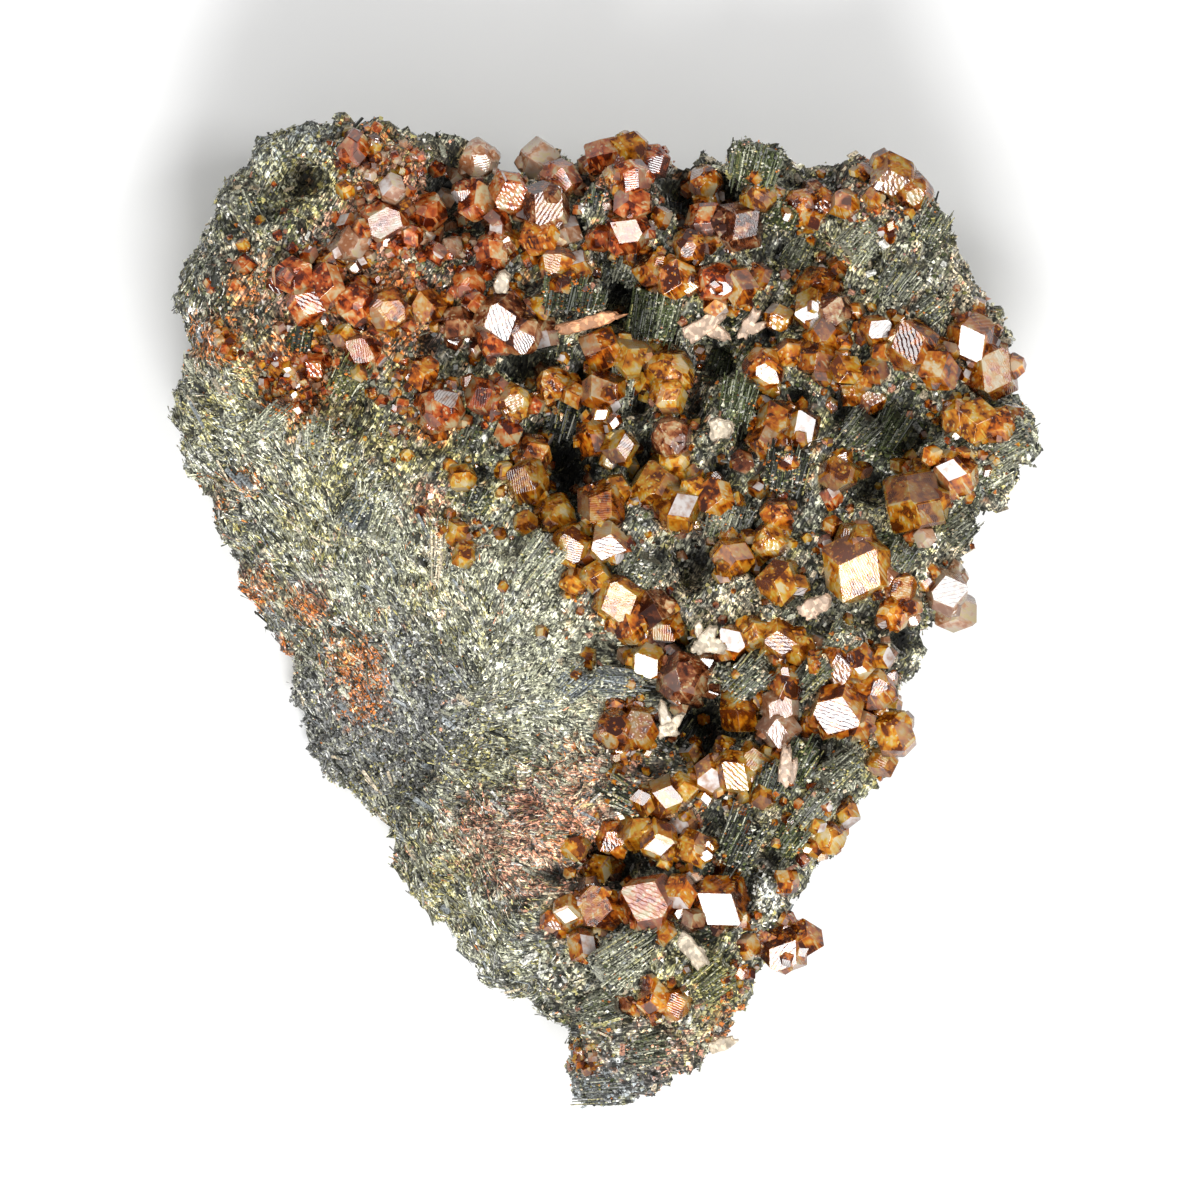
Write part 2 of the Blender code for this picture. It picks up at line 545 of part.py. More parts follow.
def main():
    for old in list(bpy.data.objects):
        bpy.data.objects.remove(old)
    scene = bpy.context.scene.collection
    specimen = bpy.data.collections.new("topazolite_garnet")
    cutters = bpy.data.collections.new("cutters")
    scene.children.link(specimen)
    scene.children.link(cutters)
    rock_finish = material("fibrous_rock", ROCK_GREEN, 0.85)
    garnet_finish = material("garnet", GARNET_AMBER, 0.08, 0.6)
    feldspar_finish = material("feldspar", FELDSPAR_CREAM, 0.55)

    rock = slab_from_outline(specimen)
    rock.name = "matrix"
    shape_rock(rock)
    cut_flat_base(rock)
    surface = surface_of(rock)

    bundles = []
    for index, (px, py, length, width, height, direction) in enumerate(FIBRE_BUNDLES):
        x, y = place(px, py)
        base = seat_height(surface, x, y, width * MM)
        tilt = random.Random(index).uniform(-0.25, 0.25)
        bundles.append(
            fibre_bundle(
                x, y, base, length * MM, width * MM, height * MM, math.radians(direction), tilt
            )
        )
    stubs = new_object("fibre_bundles", mesh_from(bundles, "fibre_bundles"), cutters)
    stubs.hide_render = True
    boolean(rock, stubs, "UNION")
    clean_object(rock)
    shade(rock, rock_finish)

    clearance = swollen(rock, "rock_clearance", cutters, SEAT_GAP)
    seats = []
    for index, (px, py, width) in enumerate(GARNETS):
        if width < SMALLEST_CRYSTAL:
            continue
        x, y = place(px, py)
        base = seat_height(surface, x, y, width * MM)
        seats.append((x, y, base + CRYSTAL_LIFT * width * MM, width * MM, index))
    small = set()
    for body in crystals_without(seats, [clearance], "all_crystals", cutters):
        if body.calc_volume() < SMALLEST_CLUSTER:
            tree = BVHTree.FromBMesh(body)
            for seat in seats:
                if tree.find_nearest(Vector(seat[:3]))[3] < 0.35 * seat[3]:
                    small.add(seat)
    kept = [seat for seat in seats if seat not in small]

    # Lone small crystals are part of the rock
    studs = mesh_from([garnet_crystal(*seat) for seat in seats if seat in small], "small_crystals")
    studs = new_object("small_crystals", studs, cutters)
    studs.hide_render = True
    boolean(rock, studs, "UNION")
    clean_object(rock)
    thin_out(rock, MATRIX_TRIANGLES)
    shade(rock, rock_finish)
    clearance.data = swollen(rock, "final_clearance", cutters, SEAT_GAP).data
    hairline = swollen(rock, "hairline_clearance", cutters, HAIRLINE)

    bodies = crystals_without(kept, [clearance, hairline], "grown_crystals", cutters)
    bodies = [body for body in bodies if body.calc_volume() > SMALLEST_PIECE]
    bodies.sort(key=lambda body: -max(vertex.co.y for vertex in body.verts))
    for number, body in enumerate(bodies, 1):
        mesh = bpy.data.meshes.new("garnet_cluster")
        body.to_mesh(mesh)
        body.free()
        cluster = new_object(f"garnet_cluster_{number:02d}", mesh, specimen)
        shade(cluster, garnet_finish)
        print(cluster.name, len(mesh.polygons))
    print("matrix", len(rock.data.polygons), "fused", len(small), "clusters", len(bodies))

    stand_off = bpy.data.meshes.new("garnet_clearance")
    joined = bmesh.new()
    for cluster in specimen.objects:
        if cluster != rock:
            joined.from_mesh(cluster.data)
    joined.to_mesh(stand_off)
    joined.free()
    stand_off = new_object("garnets_joined", stand_off, cutters)
    stand_off = swollen(stand_off, "garnet_clearance", cutters, SEAT_GAP)
    for index, (name, px, py, length, width, thickness, turn, tilt) in enumerate(FELDSPAR_BLADES):
        x, y = place(px, py)
        base = seat_height(surface, x, y, width * MM)
        blade = feldspar_blade(
            x, y, base + BLADE_LIFT, length * MM, width * MM, thickness * MM,
            math.radians(turn), math.radians(tilt), index,
        )
        plate = new_object("plate", mesh_from([blade], "plate"), cutters)
        for cutter in (clearance, hairline, stand_off):
            boolean(plate, cutter, "DIFFERENCE")
        parts = tidy_bodies(plate)
        print(name, [round(part.calc_volume() / MM**3, 1) for part in parts])
        shade(new_object(name, mesh_from(parts[:1], name), specimen), feldspar_finish)
    for helper in cutters.objects:
        helper.hide_render = True
        helper.display_type = "WIRE"
    print("triangles", sum(len(part.data.polygons) for part in specimen.objects))


main()
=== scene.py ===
import json
import math
import random

import bmesh
import bpy
import numpy as np
from mathutils import Matrix, Vector
from mathutils.bvhtree import BVHTree

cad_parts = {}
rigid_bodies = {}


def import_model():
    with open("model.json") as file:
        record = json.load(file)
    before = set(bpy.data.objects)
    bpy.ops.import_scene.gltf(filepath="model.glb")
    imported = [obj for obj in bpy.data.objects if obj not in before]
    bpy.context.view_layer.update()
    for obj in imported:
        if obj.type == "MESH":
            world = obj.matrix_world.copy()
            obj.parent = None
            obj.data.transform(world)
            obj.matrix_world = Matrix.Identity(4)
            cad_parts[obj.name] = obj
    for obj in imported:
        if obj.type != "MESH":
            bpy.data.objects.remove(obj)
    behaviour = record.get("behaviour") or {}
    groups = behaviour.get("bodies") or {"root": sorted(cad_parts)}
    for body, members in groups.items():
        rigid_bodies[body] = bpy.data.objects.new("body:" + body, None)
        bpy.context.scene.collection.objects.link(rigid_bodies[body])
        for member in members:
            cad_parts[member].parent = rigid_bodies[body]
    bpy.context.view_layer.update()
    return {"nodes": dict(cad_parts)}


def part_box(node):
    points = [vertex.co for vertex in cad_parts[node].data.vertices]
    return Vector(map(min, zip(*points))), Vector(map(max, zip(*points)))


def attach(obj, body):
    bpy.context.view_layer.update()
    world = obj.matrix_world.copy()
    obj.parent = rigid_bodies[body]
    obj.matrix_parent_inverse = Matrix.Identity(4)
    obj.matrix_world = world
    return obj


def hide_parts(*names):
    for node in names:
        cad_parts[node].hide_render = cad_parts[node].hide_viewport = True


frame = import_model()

mm = 0.001

# Places are read in the 1200 x 1200 photograph, which looks straight down on the crystals
photo = {"pixel": 0.115 * mm, "middle": (600, 560), "frontHeight": 0.037}


def spot(px, py):  # frame x and y of a pixel
    return (px - photo["middle"][0]) * photo["pixel"], (photo["middle"][1] - py) * photo["pixel"]


def pixelsOf(points):  # pixels of frame points, as an array
    return np.stack([points[:, 0] / photo["pixel"] + photo["middle"][0],
                     photo["middle"][1] - points[:, 1] / photo["pixel"]], axis=1)


def meshOf(bm, name):
    mesh = bpy.data.meshes.new(name)
    bm.to_mesh(mesh)
    bm.free()
    return mesh


def addObject(name, mesh):
    obj = bpy.data.objects.new(name, mesh)
    bpy.context.scene.collection.objects.link(obj)
    return obj


def baked(obj):  # the mesh with its modifiers applied
    bpy.context.view_layer.update()
    graph = bpy.context.evaluated_depsgraph_get()
    mesh = bpy.data.meshes.new_from_object(obj.evaluated_get(graph))
    obj.modifiers.clear()
    obj.data = mesh
    return obj


def ripples(points, size, seed, count=7):  # a smooth random field of about -1 to 1
    chance = np.random.default_rng(seed)
    total = np.zeros(len(points))
    for step in range(count):
        way = chance.normal(size=3)
        way *= chance.uniform(0.6, 1.5) * 2 * math.pi / (size * np.linalg.norm(way))
        total += np.sin(points @ way + chance.uniform(0, 6.28))
    return total / math.sqrt(count)


# Finishes

stoneTints = {
    "pale": (0.57, 0.57, 0.43), "mid": (0.215, 0.217, 0.16), "dark": (0.026, 0.028, 0.02),
    "charcoal": (0.235, 0.237, 0.23), "yellow": (0.48, 0.43, 0.17), "rust": (0.62, 0.20, 0.04),
    "cream": (0.80, 0.67, 0.47), "pink": (0.70, 0.34, 0.22), "steel": (0.33, 0.36, 0.37),
    "white": (0.90, 0.89, 0.82), "green": (0.09, 0.11, 0.04), "plum": (0.17, 0.08, 0.07),
    "olive": (0.19, 0.18, 0.05),
}
runAngles = (0, 60, 120)  # streaks in these directions are mixed to follow the fibres


def fill(mat, node, inputs):  # what comes out of another node is linked, and a value is set
    for name, value in inputs.items():
        if isinstance(value, bpy.types.NodeSocket):
            mat.node_tree.links.new(value, node.inputs[name])
        else:
            node.inputs[name].default_value = value


def addNode(mat, kind, inputs):
    node = mat.node_tree.nodes.new(kind)
    fill(mat, node, inputs)
    return node


def newFinish(name):
    mat = bpy.data.materials.new(name)
    mat.use_nodes = True
    return mat, mat.node_tree.nodes["Principled BSDF"]


def attribute(mat, name, kind="Fac"):
    source = addNode(mat, "ShaderNodeAttribute", {})
    source.attribute_name = name
    return source.outputs[kind]


def objectPlace(mat):
    return addNode(mat, "ShaderNodeTexCoord", {}).outputs["Object"]


def tiltedPlace(mat):  # turned, so that flat cell patterns run on over sides and tops
    turn = addNode(mat, "ShaderNodeMapping", {"Vector": objectPlace(mat), "Rotation": (0.6, 0.35, 0)})
    return turn.outputs["Vector"]


def noise(mat, where, size, detail, roughness=0.5):
    clouds = addNode(mat, "ShaderNodeTexNoise", {"Vector": where, "Scale": 1 / size, "Detail": detail,
                                                 "Roughness": roughness})
    return clouds.outputs["Fac"]


def flatCells(mat, where, size):  # a pattern of cells, much cheaper than one in three dimensions
    cells = addNode(mat, "ShaderNodeTexVoronoi", {})
    cells.voronoi_dimensions = "2D"
    fill(mat, cells, {"Vector": where, "Scale": 1 / size})
    return cells.outputs


def cellTones(mat, where, size):  # a random number for each cell
    picked = addNode(mat, "ShaderNodeSeparateColor", {"Color": flatCells(mat, where, size)["Color"]})
    return picked.outputs["Red"]


def ranged(mat, value, source, target):  # the value moved from one range to another
    levels = addNode(mat, "ShaderNodeMapRange", {"Value": value, "From Min": source[0], "From Max": source[1],
                                                 "To Min": target[0], "To Max": target[1]})
    return levels.outputs["Result"]


def counted(mat, operation, *values):
    step = addNode(mat, "ShaderNodeMath", {})
    step.operation = operation
    fill(mat, step, dict(enumerate(values)))
    return step.outputs["Value"]


def scaled(mat, colour, factor):
    shaded = addNode(mat, "ShaderNodeVectorMath", {})
    shaded.operation = "SCALE"
    fill(mat, shaded, {0: colour, "Scale": factor})
    return shaded.outputs["Vector"]


def bumped(mat, inputs):
    return addNode(mat, "ShaderNodeBump", inputs).outputs["Normal"]


def ramped(mat, value, stops):  # a colour for each position, and the first two stops are there already
    ramp = addNode(mat, "ShaderNodeValToRGB", {"Fac": value})
    elements = ramp.color_ramp.elements
    for number, (position, colour) in enumerate(stops):
        stop = elements[number] if number < 2 else elements.new(position)
        stop.position = position
        stop.color = (*colour, 1)
    return ramp.outputs["Color"]


stone = {
    "clouds": 3, "cloudContrast": 0.6,  # size in grains, and contrast as a share of the finish's own
    "grainPower": 2.2, "grainLight": 2.4, "bump": 0.7,
    "streak": (2.4 * mm, 0.2 * mm, 0.35 * mm), "streakRange": (0.36, 0.64), "streakLight": (0.3, 1.8),
}


def streakTones(mat, place):  # noise drawn out in three directions, mixed by the piece's own shares
    shares = addNode(mat, "ShaderNodeSeparateXYZ", {"Vector": attribute(mat, "runs", "Vector")})
    total = 0
    for degrees, share in zip(runAngles, shares.outputs):
        turn = addNode(mat, "ShaderNodeMapping", {})
        turn.vector_type = "TEXTURE"
        around = (0, 0, math.radians(degrees))
        fill(mat, turn, {"Vector": place, "Rotation": around, "Scale": stone["streak"]})
        total = counted(mat, "MULTIPLY_ADD", noise(mat, turn.outputs["Vector"], 1, 0), share, total)
    return ranged(mat, total, stone["streakRange"], stone["streakLight"])


def stoneFinish(name, roughness, grainSize, contrast, bumpHeight=None, streaks=False):
    mat, shader = newFinish(name)
    place = objectPlace(mat)
    swing = stone["cloudContrast"] * contrast
    clouds = noise(mat, place, stone["clouds"] * grainSize, 1, 0.7)
    product = ranged(mat, clouds, (0.3, 0.7), (1 - swing, 1 + swing))
    if bumpHeight:  # each grain is lighter or darker
        grain = counted(mat, "POWER", cellTones(mat, tiltedPlace(mat), grainSize), stone["grainPower"])
        lighter = 1 + stone["grainLight"] * contrast
        product = counted(mat, "MULTIPLY", product, ranged(mat, grain, (0, 1), (1 - contrast, lighter)))
    if streaks:
        product = counted(mat, "MULTIPLY", product, streakTones(mat, place))
    if bumpHeight:
        bump = bumped(mat, {"Strength": stone["bump"], "Distance": bumpHeight, "Height": product})
        fill(mat, shader, {"Normal": bump})
    tint = attribute(mat, "tint", "Color")
    fill(mat, shader, {"Base Color": scaled(mat, tint, product), "Roughness": roughness})
    return mat


rockFinish = stoneFinish("fibrousRock", 0.7, 0.3 * mm, 0.8, 0.10 * mm, streaks=True)
fibreFinish = stoneFinish("actinoliteFibre", 0.42, 0.09 * mm, 1.35)
grainFinish = stoneFinish("diopsideGrain", 0.45, 0.12 * mm, 0.6)
feldsparFinish = stoneFinish("feldsparCream", 0.38, 0.34 * mm, 0.28, 0.05 * mm)

# Colours of the dark, common and light parts, absorption colour, and how much absorbs in a metre
garnetTints = {
    "amber": ((0.10, 0.016, 0.003), (0.80, 0.185, 0.010), (1.0, 0.46, 0.035), (0.97, 0.42, 0.05), 200),
    "golden": ((0.20, 0.04, 0.004), (0.95, 0.31, 0.012), (1.0, 0.62, 0.07), (0.98, 0.56, 0.08), 180),
    "russet": ((0.12, 0.014, 0.004), (0.82, 0.135, 0.015), (1.0, 0.38, 0.09), (0.95, 0.32, 0.07), 200),
    "plum": ((0.07, 0.015, 0.007), (0.40, 0.10, 0.03), (0.82, 0.36, 0.14), (0.86, 0.42, 0.24), 200),
    "pale": ((0.58, 0.22, 0.09), (0.93, 0.53, 0.31), (1.0, 0.80, 0.62), (0.95, 0.72, 0.52), 130),
}
crystal = {
    "IOR": 1.88, "Specular IOR Level": 0.2,
    "veils": 1.5 * mm, "facet": (-0.14, 0.12),  # inclusions, and how much faces differ
    "lines": 0.75 * mm, "lineDepth": 0.014 * mm, "crumbs": 0.4 * mm, "crumbDepth": 0.10 * mm,
    "glint": (1, 0.83, 0.47), "mauveSheen": (0.52, 0.36, 0.31, 1),
}
# Fields of light from inside, then fine glints: size, range of the cells, what it adds
lightFields = [(0.9 * mm, (0, 1), (-0.08, 0.07)), (0.4 * mm, (0, 1), (-0.06, 0.05)),
               (0.22 * mm, (0.88, 0.97), (0, 0.24))]


def growthLines(mat):  # waves along the faces, in the crystal's own axes
    lines = addNode(mat, "ShaderNodeTexWave", {"Vector": attribute(mat, "growth", "Vector"),
                                               "Scale": 1 / crystal["lines"], "Distortion": 3.2, "Detail": 1})
    lines.bands_direction = "DIAGONAL"
    return lines.outputs["Fac"]


def garnetFinish(name, dark, common, light, absorbed, density):
    mat, shader = newFinish(name)
    tilted = tiltedPlace(mat)
    clouds = noise(mat, objectPlace(mat), crystal["veils"], 2)
    level = counted(mat, "ADD", clouds, ranged(mat, attribute(mat, "facet"), (0, 1), crystal["facet"]))
    for size, source, target in lightFields:
        level = counted(mat, "ADD", level, ranged(mat, cellTones(mat, tilted, size), source, target))
    colour = ramped(mat, level, ((0.34, dark), (0.49, common), (0.61, light), (0.76, crystal["glint"])))
    # painted sheen: some faces are mixed towards a grey pink reflection
    sheenMix = addNode(mat, "ShaderNodeMix", {})
    sheenMix.data_type = "RGBA"
    fill(mat, sheenMix, {0: attribute(mat, "mauveSheen"), 6: colour, 7: crystal["mauveSheen"]})
    striped = bumped(mat, {"Distance": crystal["lineDepth"], "Height": growthLines(mat),
                           "Strength": attribute(mat, "striped")})
    crumbs = flatCells(mat, tilted, crystal["crumbs"])["Distance"]  # little faces on the crusty crystals
    crumbled = bumped(mat, {"Distance": crystal["crumbDepth"], "Height": crumbs, "Normal": striped,
                            "Strength": attribute(mat, "sugary")})
    # the colour is scaled by each crystal's tone and painted light and shade
    fill(mat, shader, {
        "Base Color": scaled(mat, sheenMix.outputs[2], attribute(mat, "toneAndShade")), "Normal": crumbled,
        "Roughness": ranged(mat, clouds, (0.42, 0.62), (0.03, 0.17)),  # glossier in some places
        "IOR": crystal["IOR"], "Specular IOR Level": crystal["Specular IOR Level"],
        "Transmission Weight": 0.44})
    inside = addNode(mat, "ShaderNodeVolumeAbsorption", {"Color": (*absorbed, 1), "Density": density})
    fill(mat, mat.node_tree.nodes["Material Output"], {"Volume": inside.outputs["Volume"]})
    return mat


def paleSheenFinish():  # painted reflection: pale pink faces with growth lines, standing for faces that mirror the light
    mat, shader = newFinish("garnetPaleSheen")
    clouds = noise(mat, objectPlace(mat), 0.9 * mm, 4)
    colour = ramped(mat, clouds, ((0.34, (0.58, 0.36, 0.26)), (0.56, (0.90, 0.83, 0.80))))
    line = ranged(mat, growthLines(mat), (0.05, 0.16), (1, 0))
    shown = counted(mat, "MULTIPLY", line, attribute(mat, "striped"))
    kept = counted(mat, "MULTIPLY_ADD", shown, -0.8, 1)
    # each crystal's tone and painted light and shade, darkened along the growth lines
    toneAndShade = counted(mat, "MULTIPLY", attribute(mat, "toneAndShade"), kept)
    fill(mat, shader, {
        "Base Color": scaled(mat, colour, toneAndShade), "Roughness": 0.16, "IOR": crystal["IOR"],
        "Specular IOR Level": crystal["Specular IOR Level"], "Transmission Weight": 0.25})
    return mat


garnetKinds = list(garnetTints)
garnetFinishes = [garnetFinish("garnet" + kind.title(), *garnetTints[kind]) for kind in garnetKinds]
garnetFinishes.append(paleSheenFinish())
print("finishes made")

# Rock: the solid cut into fine cells, which get their relief further below

rock = {
    "cell": 0.62 * mm, "smoothing": 2, "lumps": 0.55 * mm, "roughness": 0.32 * mm, "grooves": 0.35 * mm,
    "sunk": 0.7 * mm, "sunkVaries": 0.8 * mm,  # the rock between the crystals
    "gap": 2.4 * mm, "foot": 3 * mm,  # depth of the gaps, and the height below which relief fades out
    "pocket": 0.75, "pocketReach": 0.5,  # flatness of the hollow under a crystal, and share of its width
    "glowTint": (1.0, 0.62, 0.25), "glowReach": 1.12,  # painted glow: bright orange rock near each crystal's foot, seen through the crystal as light from inside
}

bm = bmesh.new()
bm.from_mesh(frame["nodes"]["matrix"].data)
bmesh.ops.remove_doubles(bm, verts=bm.verts, dist=0.001 * mm)
matrixRock = addObject("matrixRock", meshOf(bm, "matrixRock"))
cells = matrixRock.modifiers.new("cells", "REMESH")
cells.mode = "VOXEL"
cells.voxel_size = rock["cell"]
softened = matrixRock.modifiers.new("softened", "SMOOTH")
softened.factor = 0.5
softened.iterations = rock["smoothing"]
baked(matrixRock)


def pointValues(mesh, name):
    values = np.zeros(len(mesh.vertices) * 3)
    mesh.vertices.foreach_get(name, values)
    return values.reshape(-1, 3)


points = pointValues(matrixRock.data, "co")
normals = pointValues(matrixRock.data, "normal")
count = len(points)

tops = {"cell": 1.0 * mm, "side": 150, "wallStart": 4.5 * mm, "wallRange": 3 * mm}
topMap = np.zeros((tops["side"], tops["side"]))  # the highest point of each square millimetre


def squareOf(places, cell, side):  # row and column of the square that each place is over
    return tuple(np.clip((places[:, axis] / cell + side / 2).astype(int), 0, side - 1) for axis in (1, 0))


np.maximum.at(topMap, squareOf(points, tops["cell"], tops["side"]), points[:, 2])


def wallShare(places):  # 1 low on the outer walls, 0 on what is seen from above
    depth = topMap[squareOf(places, tops["cell"], tops["side"])] - places[:, 2]
    return np.clip((depth - tops["wallStart"]) / tops["wallRange"], 0, 1)


# Where colours and fibres run on the rock

# Crest between the crystals and the bare broken side, from top to bottom
crest = [(250, 60), (222, 200), (212, 300), (250, 385), (345, 450), (440, 520), (530, 600),
         (600, 690), (625, 770), (575, 860), (535, 930), (545, 1010), (570, 1160)]

# Direction of the fibres: pixel x, y, and degrees from the right
fibreRuns = [
    (230, 200, 105), (200, 300, 80), (270, 180, 60), (240, 420, -35), (200, 450, -40), (300, 500, -45),
    (260, 560, -48), (380, 560, -52), (440, 600, -66), (480, 560, 90), (540, 580, 63), (600, 620, 34),
    (620, 690, 6), (560, 650, 32), (600, 750, -25), (520, 800, -22), (450, 790, -18), (330, 700, -58),
    (290, 760, -50), (350, 640, -40), (420, 880, -50), (400, 800, -70), (480, 940, -48), (540, 960, 30),
    (618, 962, 35), (600, 1060, 12), (650, 1090, -12), (690, 1040, 30), (450, 200, 80), (575, 294, 82),
    (755, 164, 76), (900, 200, 62), (654, 313, 80), (739, 400, 76), (780, 217, 60), (885, 430, 62),
    (950, 446, 35), (1020, 420, 30), (980, 330, 50), (800, 650, 52), (748, 677, 46), (741, 841, 64),
    (830, 780, 44), (712, 979, 38), (900, 620, 60), (787, 467, 80), (317, 436, 84), (358, 512, 66),
    (536, 559, 52), (625, 796, -28), (400, 420, 70), (330, 330, 95), (660, 560, 70), (880, 700, 50),
]

# Patches of colour on the rock: pixel x, y, radius in pixels, strength
stonePatches = {
    "steel": [
        (300, 118, 36, 4), (250, 140, 24, 2), (600, 1104, 40, 3), (600, 1100, 30, 2), (600, 940, 26, 2),
    ],
    "pink": [
        (400, 190, 36, 5), (350, 250, 36, 3), (300, 290, 28, 3), (425, 305, 36, 2), (620, 165, 30, 3),
        (560, 800, 36, 4), (500, 840, 40, 3), (540, 860, 36, 3), (470, 830, 22, 2), (600, 840, 26, 2.5),
        (430, 500, 18, 3), (660, 1060, 30, 2),
    ],
    "rust": [
        (385, 310, 40, 4), (560, 280, 30, 2), (700, 510, 26, 1.5), (600, 600, 30, 1.2), (780, 440, 30, 1.2),
        (660, 800, 34, 1.5), (680, 385, 30, 1), (353, 665, 22, 7), (360, 700, 20, 8), (247, 592, 16, 6),
        (304, 605, 16, 4), (245, 480, 14, 2), (293, 378, 34, 6), (212, 338, 22, 5), (275, 653, 12, 4),
        (244, 286, 20, 3), (205, 500, 20, 1), (560, 840, 26, 2.5), (585, 755, 24, 2), (645, 810, 26, 1.2),
        (462, 545, 14, 3), (370, 150, 26, 3), (393, 190, 26, 3), (330, 290, 36, 2), (380, 310, 34, 2),
        (430, 420, 24, 1.5), (620, 150, 34, 4), (890, 185, 30, 2), (590, 1060, 22, 2), (730, 1030, 20, 2.5),
    ],
    "plum": [
        (250, 575, 14, 3), (313, 595, 14, 2), (620, 760, 24, 3.5), (520, 820, 26, 2), (890, 175, 36, 4),
    ],
    "yellow": [
        (480, 760, 34, 2.5), (360, 790, 26, 2.5), (440, 890, 34, 1.6), (565, 430, 24, 2), (205, 420, 24, 2),
        (300, 170, 40, 1.6), (430, 590, 26, 1.6), (300, 530, 22, 1.8), (470, 620, 22, 1.4),
        (420, 900, 50, 0.8), (455, 470, 22, 2), (440, 520, 20, 2), (500, 500, 20, 2), (380, 150, 40, 1.5),
        (340, 400, 30, 1.5), (400, 440, 34, 2), (330, 470, 34, 2.2), (250, 380, 30, 2), (870, 520, 20, 1.2),
        (920, 520, 26, 1.5), (800, 820, 34, 1.4), (880, 770, 26, 1.4), (700, 985, 34, 2),
        (820, 260, 60, 0.8),
    ],
    "charcoal": [
        (330, 740, 55, 5), (430, 730, 60, 4), (300, 710, 30, 4), (400, 700, 40, 3), (350, 770, 40, 4),
        (440, 1000, 60, 1), (620, 1085, 50, 3), (250, 640, 30, 1.5), (400, 640, 26, 2),
    ],
    "pale": [
        (520, 590, 60, 3), (560, 660, 60, 4), (470, 560, 50, 3), (600, 700, 40, 3), (380, 540, 40, 2),
        (560, 700, 50, 2), (610, 965, 34, 3), (540, 740, 40, 2), (450, 850, 40, 1.2), (230, 430, 50, 1.2),
        (262, 160, 40, 1.5), (840, 790, 34, 1.5), (1010, 450, 40, 1), (950, 520, 30, 1), (860, 250, 40, 1),
    ],
    "cream": [
        (600, 790, 34, 1.6), (520, 850, 26, 2.5), (600, 725, 26, 1.6), (440, 550, 14, 4),
        (745, 600, 24, 1.2), (680, 590, 26, 1.2), (640, 1040, 26, 1), (950, 560, 24, 1),
        (960, 280, 30, 1.2),
    ],
    # dark rock, most of it painted shade in the gaps between the crystals
    "dark": [
        (215, 290, 26, 1.5), (690, 1090, 30, 2), (585, 400, 30, 2), (560, 460, 34, 6), (700, 727, 30, 6),
        (618, 865, 22, 5), (450, 190, 22, 6), (640, 320, 18, 4), (770, 240, 30, 2), (690, 880, 18, 3),
    ],
    "white": [(640, 570, 24, 1), (700, 560, 20, 0.6), (760, 900, 26, 1.5)],
    "green": [(885, 430, 34, 3), (750, 400, 34, 3), (650, 310, 30, 3)],
}
# How common each tint is on the broken side, and among the crystals
bareMix = {
    "pale": 0.35, "mid": 0.27, "dark": 0.19, "charcoal": 0.12, "yellow": 0.08, "steel": 0.05, "white": 0.08,
    "cream": 0.03, "rust": 0.006, "pink": 0.004, "green": 0.04, "olive": 0.02, "plum": 0.0,
}
# among the crystals the near-black tint is common: dark rock, and painted shade between the crystals
crystalMix = {
    "pale": 0.12, "mid": 0.16, "dark": 0.42, "charcoal": 0.08, "yellow": 0.08, "steel": 0.01, "white": 0.04,
    "cream": 0.07, "rust": 0.012, "pink": 0.008, "green": 0.10, "olive": 0.05, "plum": 0.0,
}
mixing = {
    "crestBlend": 30, "runReach": 46,  # in pixels
    "patches": 0.55, "liveliness": (0.25, 1.8),  # strength of the patches, and how light or dark one piece is
}
stoneColours = np.array(list(stoneTints.values()))


def fading(px, x, y, radius):  # 1 at a place, less and less away from it
    return np.exp(-((px[:, 0] - x) ** 2 + (px[:, 1] - y) ** 2) / radius**2)


def barenessOf(points):  # 1 on the broken side, 0 among the crystals
    px = pixelsOf(points)
    best = np.full(len(px), 1e9)
    side = np.zeros(len(px))
    for (ax, ay), (bx, by) in zip(crest, crest[1:]):
        along = np.array([bx - ax, by - ay], float)
        away = px - np.array([ax, ay])
        share = np.clip((away @ along) / (along @ along), 0, 1)
        gap = away - share[:, None] * along
        distance = np.hypot(gap[:, 0], gap[:, 1])
        cross = along[0] * away[:, 1] - along[1] * away[:, 0]
        nearer = distance < best
        best = np.where(nearer, distance, best)
        side = np.where(nearer, np.sign(cross), side)
    left = np.clip(0.5 + side * best / mixing["crestBlend"], 0, 1)  # positive on the left
    return np.maximum(left, wallShare(points))


def fibreAngles(points):  # in radians, from the runs nearby
    px = pixelsOf(points)
    total = np.zeros((len(px), 2))
    for x, y, degrees in fibreRuns:
        weight = fading(px, x, y, mixing["runReach"]) + 1e-9
        double = math.radians(2 * degrees)
        total += weight[:, None] * np.array([math.cos(double), math.sin(double)])
    return 0.5 * np.arctan2(total[:, 1], total[:, 0])


def stoneWeights(points, bare, clouds):  # how likely each tint is at each point
    px = pixelsOf(points)
    seen = mixing["patches"] * (1 - wallShare(points))
    weights = np.zeros((len(points), len(stoneTints)))
    for column, kind in enumerate(stoneTints):
        base = bare * bareMix[kind] + (1 - bare) * crystalMix[kind]
        weights[:, column] = base * np.exp(clouds(column))
        for x, y, radius, strength in stonePatches.get(kind, []):
            weights[:, column] += strength * seen * fading(px, x, y, radius)
    return weights


def stoneChoice(points, seed, patchiness=2.3):  # a tint for each point
    bare = barenessOf(points)
    wall = wallShare(points)

    def clouds(column):
        coarse = ripples(points, 5.5 * mm, 40 + column)
        fine = ripples(points, 1.9 * mm, 80 + column)
        broad = wall * ripples(points, 15 * mm, 140 + column)
        return patchiness * (0.6 * coarse + 0.6 * fine + 0.5 * broad)

    heights = np.cumsum(stoneWeights(points, bare, clouds), axis=1)
    chance = np.random.default_rng(seed)
    chosen = (heights < heights[:, -1:] * chance.uniform(size=(len(points), 1))).sum(axis=1)
    tints = stoneColours[np.minimum(chosen, len(stoneTints) - 1)]
    return tints * (1 + 0.02 * bare[:, None]) * chance.uniform(*mixing["liveliness"], size=(len(points), 1))


